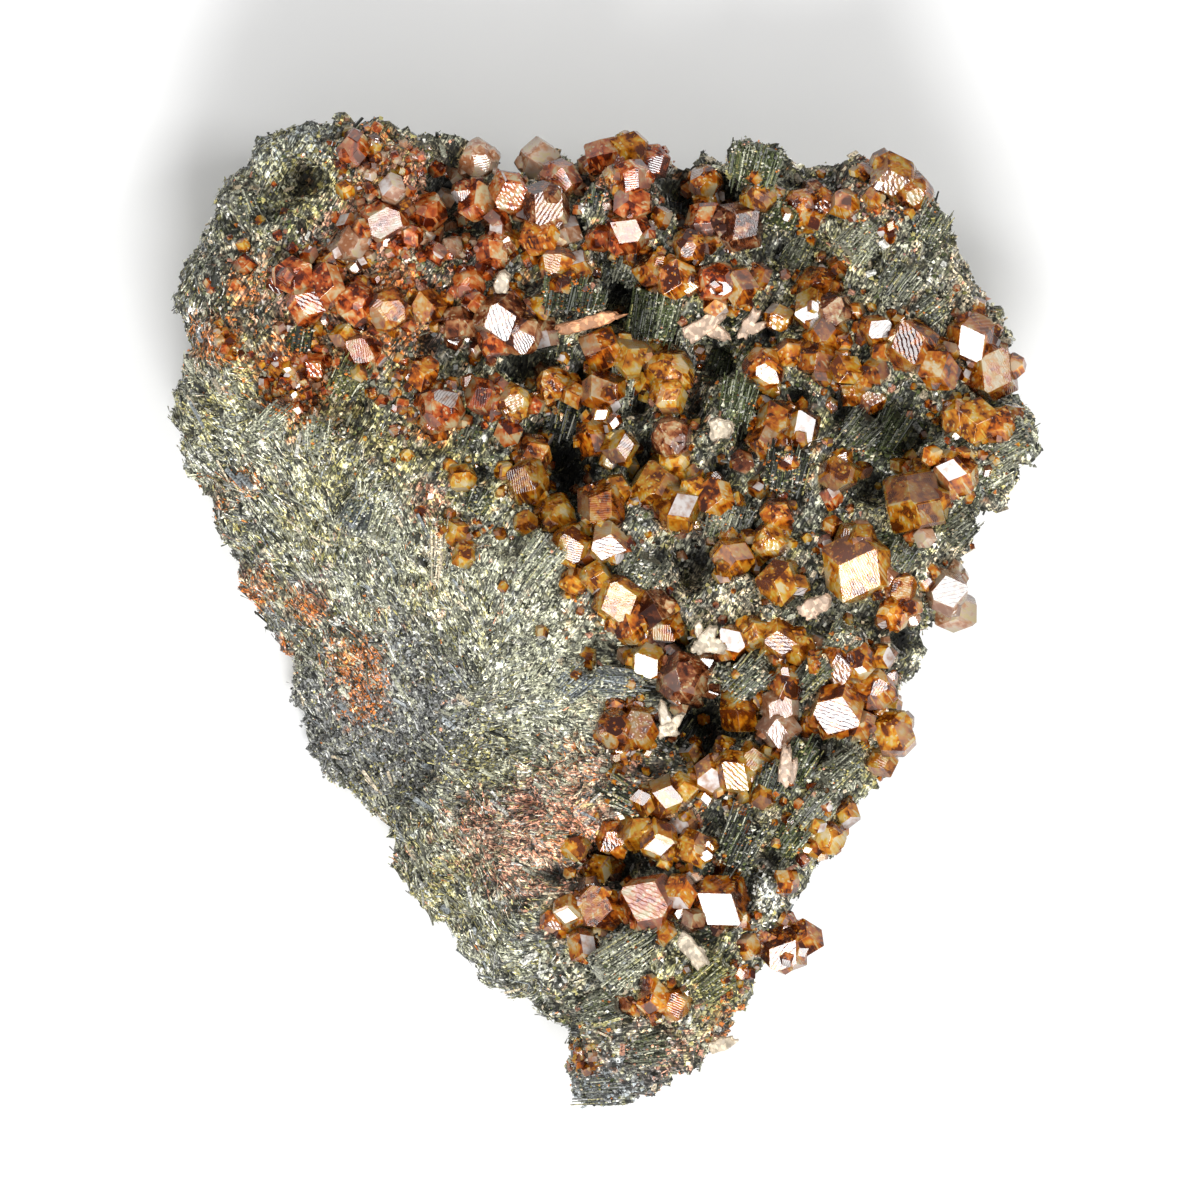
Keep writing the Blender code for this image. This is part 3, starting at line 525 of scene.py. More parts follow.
def stoneBlend(points):  # the mean tint of each point, for the rock under the fibres
    def clouds(column):
        return 1.6 * ripples(points, 2.6 * mm, 80 + column)

    weights = stoneWeights(points, barenessOf(points), clouds)
    weights **= 1.6
    weights /= weights.sum(axis=1, keepdims=True)
    return weights @ stoneColours


def paint(obj, tints):  # one tint a vertex
    layer = obj.data.color_attributes.new("tint", "FLOAT_COLOR", "POINT")
    colours = np.ones((len(tints), 4), np.float32)
    colours[:, :3] = tints
    layer.data.foreach_set("color", colours.ravel())


# Garnets: pixel x, y, width in mm

garnetPlaces = [
    (355, 148, 4.0), (436, 164, 2.6), (393, 190, 3.6), (346, 188, 2.8), (384, 219, 4.8),
    (427, 212, 4.4), (410, 236, 3.2), (351, 244, 4.2), (330, 262, 3.6), (293, 275, 5.0),
    (324, 284, 4.6), (306, 304, 4.6), (436, 253, 3.0), (355, 304, 4.8), (387, 309, 5.0),
    (424, 306, 4.4), (458, 322, 4.2), (362, 354, 4.6), (343, 336, 3.2), (422, 372, 4.0),
    (311, 366, 3.4), (442, 410, 5.2), (452, 246, 2.6), (244, 264, 2.6), (210, 340, 3.4),
    (478, 158, 4.4), (461, 170, 3.6), (538, 158, 4.8), (560, 178, 4.6), (477, 200, 5.0),
    (509, 192, 4.8), (545, 207, 5.4), (498, 230, 3.4), (467, 284, 3.8), (492, 250, 4.0),
    (605, 156, 4.2), (630, 151, 4.4), (652, 160, 4.2), (632, 176, 4.4), (632, 204, 4.2),
    (630, 233, 5.2), (600, 238, 3.6), (661, 217, 2.8), (706, 180, 4.0), (706, 222, 4.8),
    (708, 200, 3.6), (690, 246, 4.0), (740, 226, 5.6), (759, 194, 4.0), (801, 204, 4.0),
    (823, 202, 3.4), (844, 204, 3.6), (893, 178, 5.6), (912, 192, 4.6), (839, 268, 3.0),
    (540, 236, 4.8), (566, 232, 3.6), (556, 264, 4.4), (574, 268, 4.0), (603, 275, 3.2),
    (652, 270, 4.2), (675, 278, 5.0), (716, 282, 4.6), (740, 286, 4.6), (757, 276, 3.4),
    (716, 304, 3.4), (500, 316, 5.2), (541, 307, 3.4), (521, 334, 4.8), (546, 332, 3.6),
    (494, 340, 3.8), (601, 349, 4.8), (628, 358, 5.0), (647, 345, 3.8), (670, 372, 5.4),
    (668, 394, 4.6), (603, 390, 5.0), (573, 394, 3.6), (553, 384, 4.0), (483, 396, 4.4),
    (514, 402, 4.2), (508, 430, 3.6), (818, 286, 4.4), (812, 308, 4.4), (834, 308, 4.2),
    (824, 333, 4.4), (818, 357, 4.8), (846, 370, 4.0), (764, 368, 5.0), (790, 352, 3.6),
    (778, 316, 3.6), (877, 331, 3.8), (882, 350, 3.0), (910, 344, 5.8), (936, 366, 5.2),
    (976, 307, 3.2), (971, 338, 5.6), (993, 371, 6.4), (875, 371, 3.4), (853, 393, 3.4),
    (872, 399, 3.4),
    (594, 436, 4.6), (621, 446, 3.8), (630, 467, 3.2), (672, 436, 4.8), (674, 458, 3.8),
    (529, 456, 4.6), (527, 482, 5.0), (603, 505, 5.2), (616, 488, 3.6), (654, 487, 5.2),
    (677, 508, 5.6), (694, 490, 3.8), (714, 496, 4.8), (554, 514, 4.4), (526, 523, 3.2),
    (570, 545, 4.4), (607, 543, 4.6), (596, 576, 3.8), (574, 582, 3.6), (618, 599, 5.2),
    (652, 608, 4.6), (630, 624, 4.2), (664, 628, 4.2), (778, 418, 4.6), (801, 428, 4.6),
    (766, 438, 4.2), (783, 446, 3.8), (839, 474, 4.6), (742, 462, 3.2), (759, 486, 3.0),
    (778, 514, 3.8), (771, 540, 4.2), (733, 557, 4.8), (780, 583, 5.6), (856, 566, 7.6),
    (832, 526, 2.8), (957, 474, 5.2), (976, 420, 5.4), (958, 414, 4.2), (996, 424, 4.0),
    (915, 502, 7.4), (925, 474, 3.8), (894, 614, 3.8), (901, 588, 3.8), (945, 592, 4.8),
    (957, 610, 4.8), (462, 478, 3.6), (455, 532, 3.0), (464, 556, 3.2),
    (735, 642, 4.2), (755, 632, 4.0), (778, 638, 4.4), (800, 648, 4.4), (788, 682, 4.2),
    (838, 662, 4.6), (858, 662, 4.4), (882, 656, 3.2), (873, 690, 5.0), (889, 706, 3.6),
    (835, 708, 6.0), (860, 724, 3.8), (781, 706, 4.0), (779, 728, 4.4), (740, 710, 5.2),
    (683, 679, 5.6), (645, 660, 4.0), (584, 659, 3.4), (894, 734, 5.4), (884, 762, 3.8),
    (705, 662, 2.8), (712, 688, 2.8), (847, 814, 3.4), (828, 838, 4.0),
    (616, 730, 4.6), (638, 728, 4.6), (692, 756, 3.4), (710, 774, 4.4), (734, 772, 5.4),
    (754, 762, 3.8), (662, 796, 4.4), (682, 790, 3.6), (643, 800, 3.6), (763, 797, 3.6),
    (638, 832, 4.4), (658, 840, 4.8), (614, 838, 4.2), (694, 848, 4.4), (684, 826, 3.4),
    (596, 870, 3.8), (598, 908, 5.8), (567, 912, 3.8), (553, 920, 3.4), (650, 904, 6.2),
    (680, 892, 4.0), (721, 901, 6.6), (693, 920, 3.0), (664, 933, 3.2), (582, 946, 4.0),
    (786, 882, 3.4), (786, 948, 5.4), (802, 938, 4.4), (766, 938, 3.6), (748, 948, 3.4),
    (656, 1002, 4.4), (674, 1004, 4.2), (624, 1004, 2.8), (574, 848, 3.6),
]
# Where each colour of garnet is common: pixel x, y, radius
garnetZones = {
    "pale": [(385, 205, 40), (480, 170, 50), (940, 600, 50), (780, 715, 30)],
    "russet": [(350, 270, 90), (430, 210, 60), (620, 160, 50), (483, 400, 30)],
    "amber": [
        (560, 260, 60), (700, 240, 60), (840, 320, 70), (960, 350, 60), (600, 390, 50), (780, 430, 60),
        (856, 566, 40), (840, 700, 50), (630, 730, 40), (600, 908, 60), (700, 903, 50), (790, 945, 50),
        (665, 1002, 40),
    ],
    "plum": [
        (540, 170, 50), (740, 226, 36), (990, 360, 24), (500, 330, 40), (603, 505, 30), (683, 680, 40),
        (545, 207, 40),
    ],
    "golden": [
        (670, 380, 50), (690, 500, 40), (560, 560, 80), (780, 580, 60), (915, 500, 30), (975, 418, 26),
        (740, 710, 36), (890, 740, 50), (720, 770, 50), (660, 800, 50), (640, 840, 50),
    ],
}
# The ones with one large bright face
brightOnes = [
    (856, 566), (598, 908), (650, 904), (721, 901), (835, 708), (910, 344), (993, 371), (971, 338),
    (740, 226), (786, 948), (545, 207), (384, 219), (781, 706), (500, 316), (607, 543), (618, 599),
    (945, 592), (560, 178),
]
garnets = {
    "smallestSolid": 3.8,  # smaller ones aren't in the solids, and sit on the rock
    "faceDistance": 0.416,  # rhombic faces, as a share of the width
    "growth": 0.15,  # how unequally the faces grew
    "edge": 0.005,  # bevel of the edges, as a share of the width
    "sink": 0.46,  # a crystal's middle below the top of the solid, as a share of the width
    # How common each colour is, and how much more common in its zones
    "kinds": {"amber": 0.5, "golden": 0.28, "russet": 0.16, "plum": 0.07, "pale": 0.04}, "zones": 3.5,
    # Shares of crystals with a face that mirrors a lamp
    "facesLight": 0.2, "satellitesLight": 0.14, "smallFacesLight": 0.06,
    "striped": 0.6,  # share of crystals with growth lines
    "sugary": 0.2,  # share of crystals with a crumbly surface
    "mauveSheen": 0.16,  # share of faces with a painted grey pink sheen
    "front": 0.94, "brightFront": 0.82,  # a face that grew nearer to the middle is larger
    "paleSheen": 0.35,  # share of crystals with one pale pink face, a painted reflection
    "satellites": (1, 3), "satelliteWidth": (0.3, 0.56),  # grown together with each large one
}
# Gaps between the crystals, sunk into the rock and painted nearly black as shade: pixel x, y, and half width
# and half height in pixels
pits = [
    (448, 190, 15, 38), (512, 162, 15, 10), (688, 190, 12, 26), (730, 192, 12, 14), (618, 290, 15, 32),
    (642, 330, 12, 14), (566, 462, 21, 48), (647, 455, 11, 22), (699, 559, 13, 28), (701, 727, 26, 20),
    (616, 862, 24, 12), (885, 425, 30, 20), (302, 179, 14, 16), (262, 215, 12, 9), (330, 300, 9, 10),
    (572, 300, 22, 10), (770, 330, 10, 18), (640, 405, 10, 22), (655, 690, 14, 9), (757, 560, 9, 20),
    (720, 470, 9, 16), (735, 655, 14, 8), (480, 350, 12, 8), (430, 345, 12, 8), (585, 380, 9, 26),
    (690, 690, 12, 12), (760, 740, 8, 14), (690, 880, 22, 8), (650, 770, 16, 7), (555, 875, 16, 9),
    (800, 690, 8, 16), (905, 640, 9, 14), (820, 750, 10, 14), (480, 470, 10, 8), (530, 370, 16, 8),
    (745, 530, 9, 14), (840, 410, 12, 20), (800, 500, 10, 14), (870, 480, 12, 18), (780, 250, 8, 16),
    (640, 310, 9, 16), (625, 1010, 10, 5), (600, 980, 12, 5), (770, 860, 9, 12), (660, 560, 8, 16),
    (716, 364, 14, 12), (696, 404, 8, 16), (590, 528, 7, 14), (657, 596, 16, 5), (520, 365, 12, 8),
    (475, 225, 9, 14), (575, 225, 8, 12), (640, 185, 9, 9), (530, 285, 12, 7), (800, 395, 10, 8),
    (590, 470, 8, 12), (745, 430, 8, 14),
]


def pitDepth(points):  # 1 in the middle of a gap
    px = pixelsOf(points)
    deepest = np.zeros(len(px))
    for x, y, halfWidth, halfHeight in pits:
        away = ((px[:, 0] - x) / halfWidth) ** 2 + ((px[:, 1] - y) / halfHeight) ** 2
        deepest = np.maximum(deepest, np.exp(-(away ** 1.5) * 0.7))
    return deepest


# Directions of the lamps, and how often each one is mirrored in a face
lampWays = [Vector((0.05, -0.60, 0.80)), Vector((0.52, 0.12, 0.84)), Vector((-0.42, 0.30, 0.86))]
lampShares = (0.6, 0.25, 0.15)

signs = [(a, b) for a in (-1, 1) for b in (-1, 1)]
rhombic = [Vector(way).normalized() for way in
           [(a, b, 0) for a, b in signs] + [(a, 0, b) for a, b in signs] + [(0, a, b) for a, b in signs]]
trapezoid = [Vector((a * (1 + (i == 0)), b * (1 + (i == 1)), c * (1 + (i == 2)))).normalized()
             for i in range(3) for a in (-1, 1) for b, c in signs]
# For each habit: a set of faces, how far out they are, and the range of their growth
spread = garnets["growth"]
habits = {
    "rhombic": [(rhombic, 1, (1 - spread, 1 + spread))],
    "truncated": [(rhombic, 1, (1 - spread, 1 + 0.6 * spread)), (trapezoid, 1.1, (0.97, 1.05))],
    "trapezohedral": [(trapezoid, 1.08, (1 - 0.7 * spread, 1 + 0.7 * spread)), (rhombic, 1.13, (0.95, 1.05))],
}


def growGarnet(width, habit, chance, edge=True, front=None, near=1.0):
    bm = bmesh.new()
    bmesh.ops.create_cube(bm, size=2.2 * width)
    reach = garnets["faceDistance"] * width
    for normals, further, growth in habits[habit]:
        for normal in normals:
            distance = further * reach * chance.uniform(*growth) * (near if normal == front else 1)
            bmesh.ops.bisect_plane(bm, geom=bm.verts[:] + bm.edges[:] + bm.faces[:],
                                   plane_co=normal * distance, plane_no=normal, clear_outer=True)
            rim = [e for e in bm.edges if e.is_boundary]
            if rim:
                bmesh.ops.holes_fill(bm, edges=rim, sides=0)
    bmesh.ops.remove_doubles(bm, verts=bm.verts, dist=0.01 * width)
    if edge:
        bmesh.ops.bevel(bm, geom=bm.edges[:], offset=garnets["edge"] * width, offset_type="OFFSET",
                        segments=1, profile=0.5, affect="EDGES", material=-1)
    bmesh.ops.triangulate(bm, faces=bm.faces)
    bmesh.ops.recalc_face_normals(bm, faces=bm.faces)
    return bm


def frontOf(habit, chance):  # a face that this habit has
    return chance.choice(habits[habit][0][0])


def turned(face, chance, share, spread=0.05):  # a turn that lets the face mirror a lamp, or any turn
    if chance.random() < share:
        lamp = chance.choices(lampWays, lampShares)[0]
        aim = (lamp + Vector((0, 0, 1))).normalized()
        aim = (aim + Vector([chance.gauss(0, spread) for i in range(3)])).normalized()
    else:
        aim = Vector([chance.gauss(0, 1) for i in range(3)]).normalized()
    spin = Matrix.Rotation(chance.uniform(0, math.tau), 3, aim)
    return spin @ face.rotation_difference(aim).to_matrix()


def pickKind(px, py, chance):
    weights = dict(garnets["kinds"])
    for kind, zones in garnetZones.items():
        for x, y, radius in zones:
            weights[kind] += garnets["zones"] * math.exp(-((px - x) ** 2 + (py - y) ** 2) / radius**2)
    return chance.choices(garnetKinds, [weights[kind] for kind in garnetKinds])[0]


class Crystals:  # collects crystals, then makes one piece of them
    def __init__(self):
        self.bm = bmesh.new()
        self.growth = []  # each point in its crystal's own axes
        self.pointLayers = {"striped": [], "sugary": [], "toneAndShade": []}
        self.faceLayers = {"facet": [], "mauveSheen": []}

    def add(self, single, matrix, place, kind, striped, chance, front=None, bright=False):
        slot = garnetKinds.index(kind)
        toneAndShade = chance.uniform(0.6, 1.08)
        crusty = chance.random() < garnets["sugary"] and not bright
        sugary = chance.uniform(0.3, 0.8) if crusty else 0.0
        half = max(v.co.length for v in single.verts)
        copies = []
        for vert in single.verts:
            point = matrix @ vert.co
            copies.append(self.bm.verts.new(point + place))
            self.growth.append(tuple(vert.co))
            lit = min(1.15, max(0.25, 0.6 + 0.62 * point.z / half))  # painted light and shade: lighter on top, darker low down
            for name, value in (("striped", striped), ("sugary", sugary), ("toneAndShade", toneAndShade * lit)):
                self.pointLayers[name].append(value)
        single.verts.index_update()
        paleSheens = self.paleSheenFaces(single, matrix, half, chance, front, bright)
        looks = {}  # faces in one plane look alike
        for face in single.faces:
            plane = tuple(round(c, 1) for c in face.normal)
            if plane not in looks:
                sheen = chance.uniform(0.25, 0.6) if chance.random() < garnets["mauveSheen"] else 0.0
                looks[plane] = (chance.random(), sheen)
            for name, value in zip(("facet", "mauveSheen"), looks[plane]):
                self.faceLayers[name].append(value)
            made = self.bm.faces.new([copies[v.index] for v in face.verts])
            made.material_index = len(garnetKinds) if any(face.normal.dot(n) > 0.995 for n in paleSheens) else slot
        single.free()

    # picks the faces that get the painted pale reflection
    def paleSheenFaces(self, single, matrix, half, chance, front, bright):
        upward = [f.normal.copy() for f in single.faces if (matrix @ f.normal).z > 0.25]
        share = garnets["paleSheen"] * (1 if half > 1.6 * mm else 0.4)
        paleSheens = [chance.choice(upward)] if upward and chance.random() < share else []
        if paleSheens and front and chance.random() < 0.6:
            paleSheens = [front]
        if bright:
            paleSheens = [front] if chance.random() < 0.3 else []
        return paleSheens

    def finish(self, name):
        obj = addObject(name, meshOf(self.bm, name))
        for mat in garnetFinishes:
            obj.data.materials.append(mat)
        growth = obj.data.attributes.new("growth", "FLOAT_VECTOR", "POINT")
        growth.data.foreach_set("vector", np.array(self.growth, np.float32).ravel())
        for domain, layers in (("POINT", self.pointLayers), ("FACE", self.faceLayers)):
            for label, values in layers.items():
                layer = obj.data.attributes.new(label, "FLOAT", domain)
                layer.data.foreach_set("value", np.array(values, np.float32))
        obj.data.shade_flat()
        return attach(obj, "root")


def treeOf(obj):
    return BVHTree.FromPolygons([v.co for v in obj.data.vertices], [p.vertices for p in obj.data.polygons])


def firstBelow(tree, x, y):  # the highest point of a shape over a place
    return tree.ray_cast(Vector((x, y, 0.1)), Vector((0, 0, -1)))[0]


solidTrees = {name: treeOf(node) for name, node in frame["nodes"].items()}
clusterNames = sorted(name for name in solidTrees if name.startswith("garnet_cluster"))


def solidTop(x, y):  # height of the solids, without the blades
    hits = [firstBelow(tree, x, y) for name, tree in solidTrees.items() if not name.startswith("feldspar")]
    return max((hit.z for hit in hits if hit), default=None)


seats = []  # crystals of the solids: place, width, the node that it is in, pixel x and y
for px, py, width in garnetPlaces:
    x, y = spot(px, py)
    top = solidTop(x, y)
    if width < garnets["smallestSolid"] or top is None:
        continue
    centre = Vector((x, y, top - garnets["sink"] * width * mm))
    nearest = min(clusterNames, key=lambda name: solidTrees[name].find_nearest(centre)[3])
    away = solidTrees[nearest].find_nearest(centre)[3]
    seats.append((centre, width * mm, nearest if away < 0.55 * width * mm else "matrix", px, py))
print("crystals seated:", len(seats), "in the rock's own solid:", sum(s[2] == "matrix" for s in seats))

# Rock

# Stubby bundles: pixel x, y, length along the fibres, width across in mm, direction, tint
bundlePlaces = [
    (575, 293, 4.2, 7.2, 78, "green"), (755, 164, 5.0, 5.8, 76, "green"), (654, 313, 6.0, 5.5, 78, "green"),
    (572, 418, 4.6, 5.6, 74, "dark"), (738, 400, 5.8, 4.0, 78, "green"), (782, 217, 3.0, 3.4, 64, "green"),
    (316, 436, 4.8, 3.0, 84, "pale"), (358, 512, 4.6, 3.0, 66, "steel"), (380, 525, 4.2, 3.0, 70, "pale"),
    (540, 560, 5.4, 4.0, 52, "pale"), (616, 682, 6.0, 3.2, -5, "steel"), (574, 682, 3.6, 3.2, 40, "steel"),
    (787, 467, 5.2, 4.8, 80, "dark"), (889, 430, 5.4, 3.6, 62, "green"), (748, 677, 4.8, 4.0, 44, "mid"),
    (813, 673, 4.8, 3.2, 50, "mid"), (625, 796, 5.6, 3.4, -28, "dark"), (741, 841, 6.4, 4.6, 64, "dark"),
    (618, 962, 6.6, 5.0, 35, "pale"), (712, 979, 5.2, 4.0, 38, "olive"), (349, 378, 4.6, 3.8, 60, "olive"),
    (950, 448, 5.2, 2.8, 32, "mid"), (842, 642, 4.4, 3.6, 60, "mid"), (775, 600, 5.0, 4.6, 40, "mid"),
    (599, 199, 2.8, 2.4, 80, "dark"), (621, 179, 3.0, 3.4, 82, "green"), (628, 266, 4.0, 3.4, 70, "pale"),
    (744, 318, 4.0, 3.0, 40, "dark"), (621, 391, 5.6, 2.8, 84, "pale"), (708, 932, 3.4, 2.4, 20, "dark"),
    (438, 550, 7.5, 1.6, 86, "cream"), (640, 570, 4.6, 5.6, 60, "mid"), (730, 520, 4.8, 5.0, 70, "mid"),
    (860, 430, 4.4, 4.2, 50, "mid"), (880, 545, 3.4, 2.6, 20, "green"), (900, 280, 4.2, 4.2, 55, "mid"),
    (930, 225, 4.4, 4.0, 60, "mid"), (860, 240, 4.6, 4.2, 50, "pale"), (930, 310, 3.4, 3.0, 40, "mid"),
    (690, 740, 3.2, 2.8, 60, "dark"), (800, 760, 5.0, 3.6, 62, "green"), (840, 770, 5.6, 3.6, 40, "mid"),
    (815, 810, 5.0, 3.6, 50, "mid"), (790, 840, 4.0, 3.2, 55, "green"), (770, 780, 4.0, 3.0, 70, "dark"),
    (700, 870, 3.4, 2.8, 70, "dark"), (640, 940, 4.2, 3.4, 40, "dark"), (600, 1010, 4.6, 4.0, 20, "mid"),
    (650, 1050, 5.0, 4.0, 10, "mid"), (600, 1090, 5.0, 4.4, 6, "charcoal"), (1010, 440, 5.0, 3.6, 30, "mid"),
    (1000, 470, 4.2, 3.0, 35, "pale"), (960, 530, 4.2, 3.2, 40, "mid"), (900, 560, 4.0, 3.0, 60, "mid"),
    (470, 440, 3.4, 2.6, 70, "mid"), (480, 500, 3.2, 2.8, 60, "dark"), (270, 420, 4.2, 2.6, 40, "pale"),
    (300, 340, 3.0, 2.6, 80, "dark"), (250, 210, 3.6, 2.8, 110, "mid"), (720, 360, 3.0, 2.4, 70, "green"),
    (800, 250, 4.4, 3.4, 60, "mid"), (690, 330, 3.0, 2.6, 74, "mid"), (560, 350, 3.0, 2.6, 80, "dark"),
]
recessShading = {
    "cell": 0.6 * mm, "side": 240, "reach": 9, "blur": 2.2 * mm,  # the map of heights, and its softening
    "depth": 1.65 * mm, "darkest": 0.05, "gapShade": 0.94,  # painted shade: how far down it is dark, and how dark, also in the gaps
    "open": 0.8,  # how little the broken side is darkened
}


def recessShadeOf(surface):  # painted shade: a function that gives 1 on what stands out, and less in the gaps, to darken colours there
    cell, side = recessShading["cell"], recessShading["side"]
    stands = [np.array([[c.x + 0.4 * w * a, c.y + 0.4 * w * b, c.z + 0.35 * w]]) for c, w, *rest in seats
              for a in (-0.7, 0, 0.7) for b in (-0.7, 0, 0.7)]
    heights = np.concatenate([surface] + stands)
    grid = np.full((side, side), -1.0)
    np.maximum.at(grid, squareOf(heights, cell, side), heights[:, 2])
    known = grid > -0.5
    grid = np.where(known, grid, 0)
    known = known.astype(float)
    reach = np.arange(-recessShading["reach"], recessShading["reach"] + 1)
    kernel = np.exp(-(reach * cell) ** 2 / (2 * recessShading["blur"] ** 2))

    def blurred(line):
        return np.convolve(line, kernel, "same")

    for axis in (0, 1):
        grid = np.apply_along_axis(blurred, axis, grid)
        known = np.apply_along_axis(blurred, axis, known)
    cover = known / known.max()
    grid = grid / np.maximum(known, 1e-6)

    def shade(places):
        square = squareOf(places, cell, side)
        depth = grid[square] - places[:, 2]
        outer = np.clip((0.96 - cover[square]) / 0.2, 0, 1)  # the outside walls are in the light
        outer = np.maximum(outer, np.clip((depth - 5 * mm) / (2 * mm), 0, 1))
        free = np.maximum(recessShading["open"] * barenessOf(places), outer)
        # painted shade, darker the deeper a place lies under its neighbours
        gapShade = np.clip(1.1 - np.maximum(depth - 0.1 * mm, 0) / recessShading["depth"], recessShading["darkest"], 1)
        # and nearly black as painted shade in the middle of each gap
        return (gapShade * (1 - free) + free) * (1 - recessShading["gapShade"] * pitDepth(places))

    return shade


bare = barenessOf(points)
angles = fibreAngles(points)
alongFibre = np.stack([np.cos(angles), np.sin(angles), np.zeros(count)], axis=1)
stretched = points - 0.82 * alongFibre * (points * alongFibre).sum(axis=1, keepdims=True)
relief = rock["lumps"] * ripples(points, 4.2 * mm, 5) + rock["roughness"] * ripples(points, 1.7 * mm, 6)
relief -= (1 - bare) * (rock["sunk"] + rock["sunkVaries"] * np.clip(ripples(points, 6.5 * mm, 8), -1, 1))
relief -= rock["gap"] * pitDepth(points)
relief += rock["grooves"] * np.abs(ripples(stretched, 1.3 * mm, 7)) * (0.4 + 0.6 * bare)
free = np.clip(points[:, 2] / rock["foot"], 0, 1)
points += normals * (relief * free)[:, None]
for centre, width, *rest in seats:  # a crystal sits in a pocket
    gap = points[:, :2] - np.array(centre[:2])
    reach = np.hypot(gap[:, 0], gap[:, 1])
    half = rock["pocketReach"] * width
    under = (reach < half) & (points[:, 2] > centre.z - 0.7 * width)
    bottom = centre.z - rock["pocket"] * np.sqrt(np.clip(half ** 2 - reach**2, 0, None))
    points[under, 2] = np.minimum(points[under, 2], bottom[under])

bundles = {
    "rise": 0.42, "riseVaries": (0.5, 1.3), "flipped": 0.3,  # radians that the fibres rise from the rock
    "half": 0.3, "foot": 0.42,  # half thickness as a share of the narrower side, and rock drawn up under it
    "rod": 0.15, "spread": 0.04, "layers": 2,  # width of a fibre in mm, and how they lie
    "mixed": ("dark", None, "pale", "yellow", "mid", "green"),  # tints of the fibres, None is its own
    "shares": (0.3, 0.3, 0.08, 0.04, 0.12, 0.16),
}
bundleFrames = []  # middle, way along, way across, half thickness, length, width, tint
chance = np.random.default_rng(78)
for px, py, length, width, degrees, kind in bundlePlaces:
    x, y = spot(px, py)
    near = (np.hypot(points[:, 0] - x, points[:, 1] - y) < 1.2 * mm) & (normals[:, 2] > 0)
    rise = bundles["rise"] * chance.uniform(*bundles["riseVaries"])
    angle = math.radians(degrees) + (math.pi if chance.random() < bundles["flipped"] else 0)
    if not near.any():
        continue
    way = np.array([math.cos(angle) * math.cos(rise), math.sin(angle) * math.cos(rise), math.sin(rise)])
    side = np.array([-math.sin(angle), math.cos(angle), 0])
    half = bundles["half"] * min(length, width) * mm
    middle = np.array([x, y, np.percentile(points[near, 2], 75) + 0.3 * half + 0.3 * mm])
    bundleFrames.append((middle, way, side, half, length, width, kind))
    gap = points - middle
    u = gap[:, :2] @ way[:2] / math.cos(rise)
    v = gap @ side
    under = (np.abs(u) < bundles["foot"] * length * mm) & (np.abs(v) < bundles["foot"] * width * mm)
    under &= (normals[:, 2] > 0) & (gap[:, 2] > -5 * mm)
    lid = middle[2] + u * math.tan(rise) + 0.3 * half - 0.2 * mm
    points[under, 2] = np.maximum(points[under, 2], lid[under])
points[:, 2] = np.maximum(points[:, 2], 0)
matrixRock.data.vertices.foreach_set("co", points.ravel())
matrixRock.data.update()
recessShade = recessShadeOf(points)
tints = 0.45 * stoneBlend(points) + 0.55 * stoneChoice(points, 71)
# painted shade: the rock is darker in the gaps between the crystals
tints = tints * (0.95 * recessShade(points))[:, None]
for centre, width, *rest in seats:  # painted glow: bright orange rock under the crystals, so that they look lit from inside
    gap = np.linalg.norm(points - np.array(centre), axis=1)
    glow = np.clip((rock["glowReach"] - gap / (0.5 * width)) * 4, 0, 1)[:, None]
    tints = tints * (1 - glow) + glow * np.array(rock["glowTint"])
paint(matrixRock, tints)

# How much each direction of streaks counts at each point
follow = [np.clip(np.cos(2 * (angles - math.radians(degrees))), 0, 1) ** 2 + 0.01 for degrees in runAngles]
follow = np.stack(follow, axis=1)
follow /= follow.sum(axis=1, keepdims=True)
runs = matrixRock.data.attributes.new("runs", "FLOAT_VECTOR", "POINT")
runs.data.foreach_set("vector", follow.astype(np.float32).ravel())
matrixRock.data.materials.append(rockFinish)
matrixRock.data.shade_smooth()
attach(matrixRock, "root")
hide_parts("matrix")
rockTree = treeOf(matrixRock)
print("rock made:", count, "points")

# Fibres, grains and bundles on the rock


def template(kind):  # points and triangles of a small piece, one long and one wide
    bm = bmesh.new()
    if kind == "needle":
        bmesh.ops.create_cone(bm, segments=3, radius1=0.5, radius2=0, depth=1, cap_ends=True)
    elif kind == "rod":
        bmesh.ops.create_cone(bm, segments=4, radius1=0.6, radius2=0.5, depth=1, cap_ends=True)
    else:
        bmesh.ops.create_cone(bm, segments=4, radius1=0.6, radius2=0, depth=0.8, cap_ends=True)
    bmesh.ops.triangulate(bm, faces=bm.faces)
    bm.verts.index_update()
    verts = np.array([v.co for v in bm.verts])
    faces = np.array([[v.index for v in f.verts] for f in bm.faces])
    bm.free()
    return verts, faces


def scatter(name, kind, places, long, side, lengths, widths, depths, tints, finish):
    # many copies of a small piece in one mesh, each with its own length, width and tint
    verts, faces = template(kind)
    third = np.cross(long, side)
    coords = (places[:, None, :]
              + verts[None, :, 2:3] * (long * lengths[:, None])[:, None, :]
              + verts[None, :, 0:1] * (side * widths[:, None])[:, None, :]
              + verts[None, :, 1:2] * (third * depths[:, None])[:, None, :])
    count = len(places)
    order = faces[None, :, :] + (np.arange(count) * len(verts))[:, None, None]
    mesh = bpy.data.meshes.new(name)
    mesh.from_pydata(coords.reshape(-1, 3).tolist(), [], order.reshape(-1, 3).tolist())
    obj = addObject(name, mesh)
    paint(obj, np.repeat(tints, len(verts), axis=0))
    mesh.materials.append(finish)
    mesh.shade_flat()
    bm = bmesh.new()
    bm.from_mesh(mesh)
    bmesh.ops.recalc_face_normals(bm, faces=bm.faces)
    bm.to_mesh(mesh)
    bm.free()
    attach(obj, "root")
    print(name, count, "pieces,", len(mesh.polygons), "triangles")


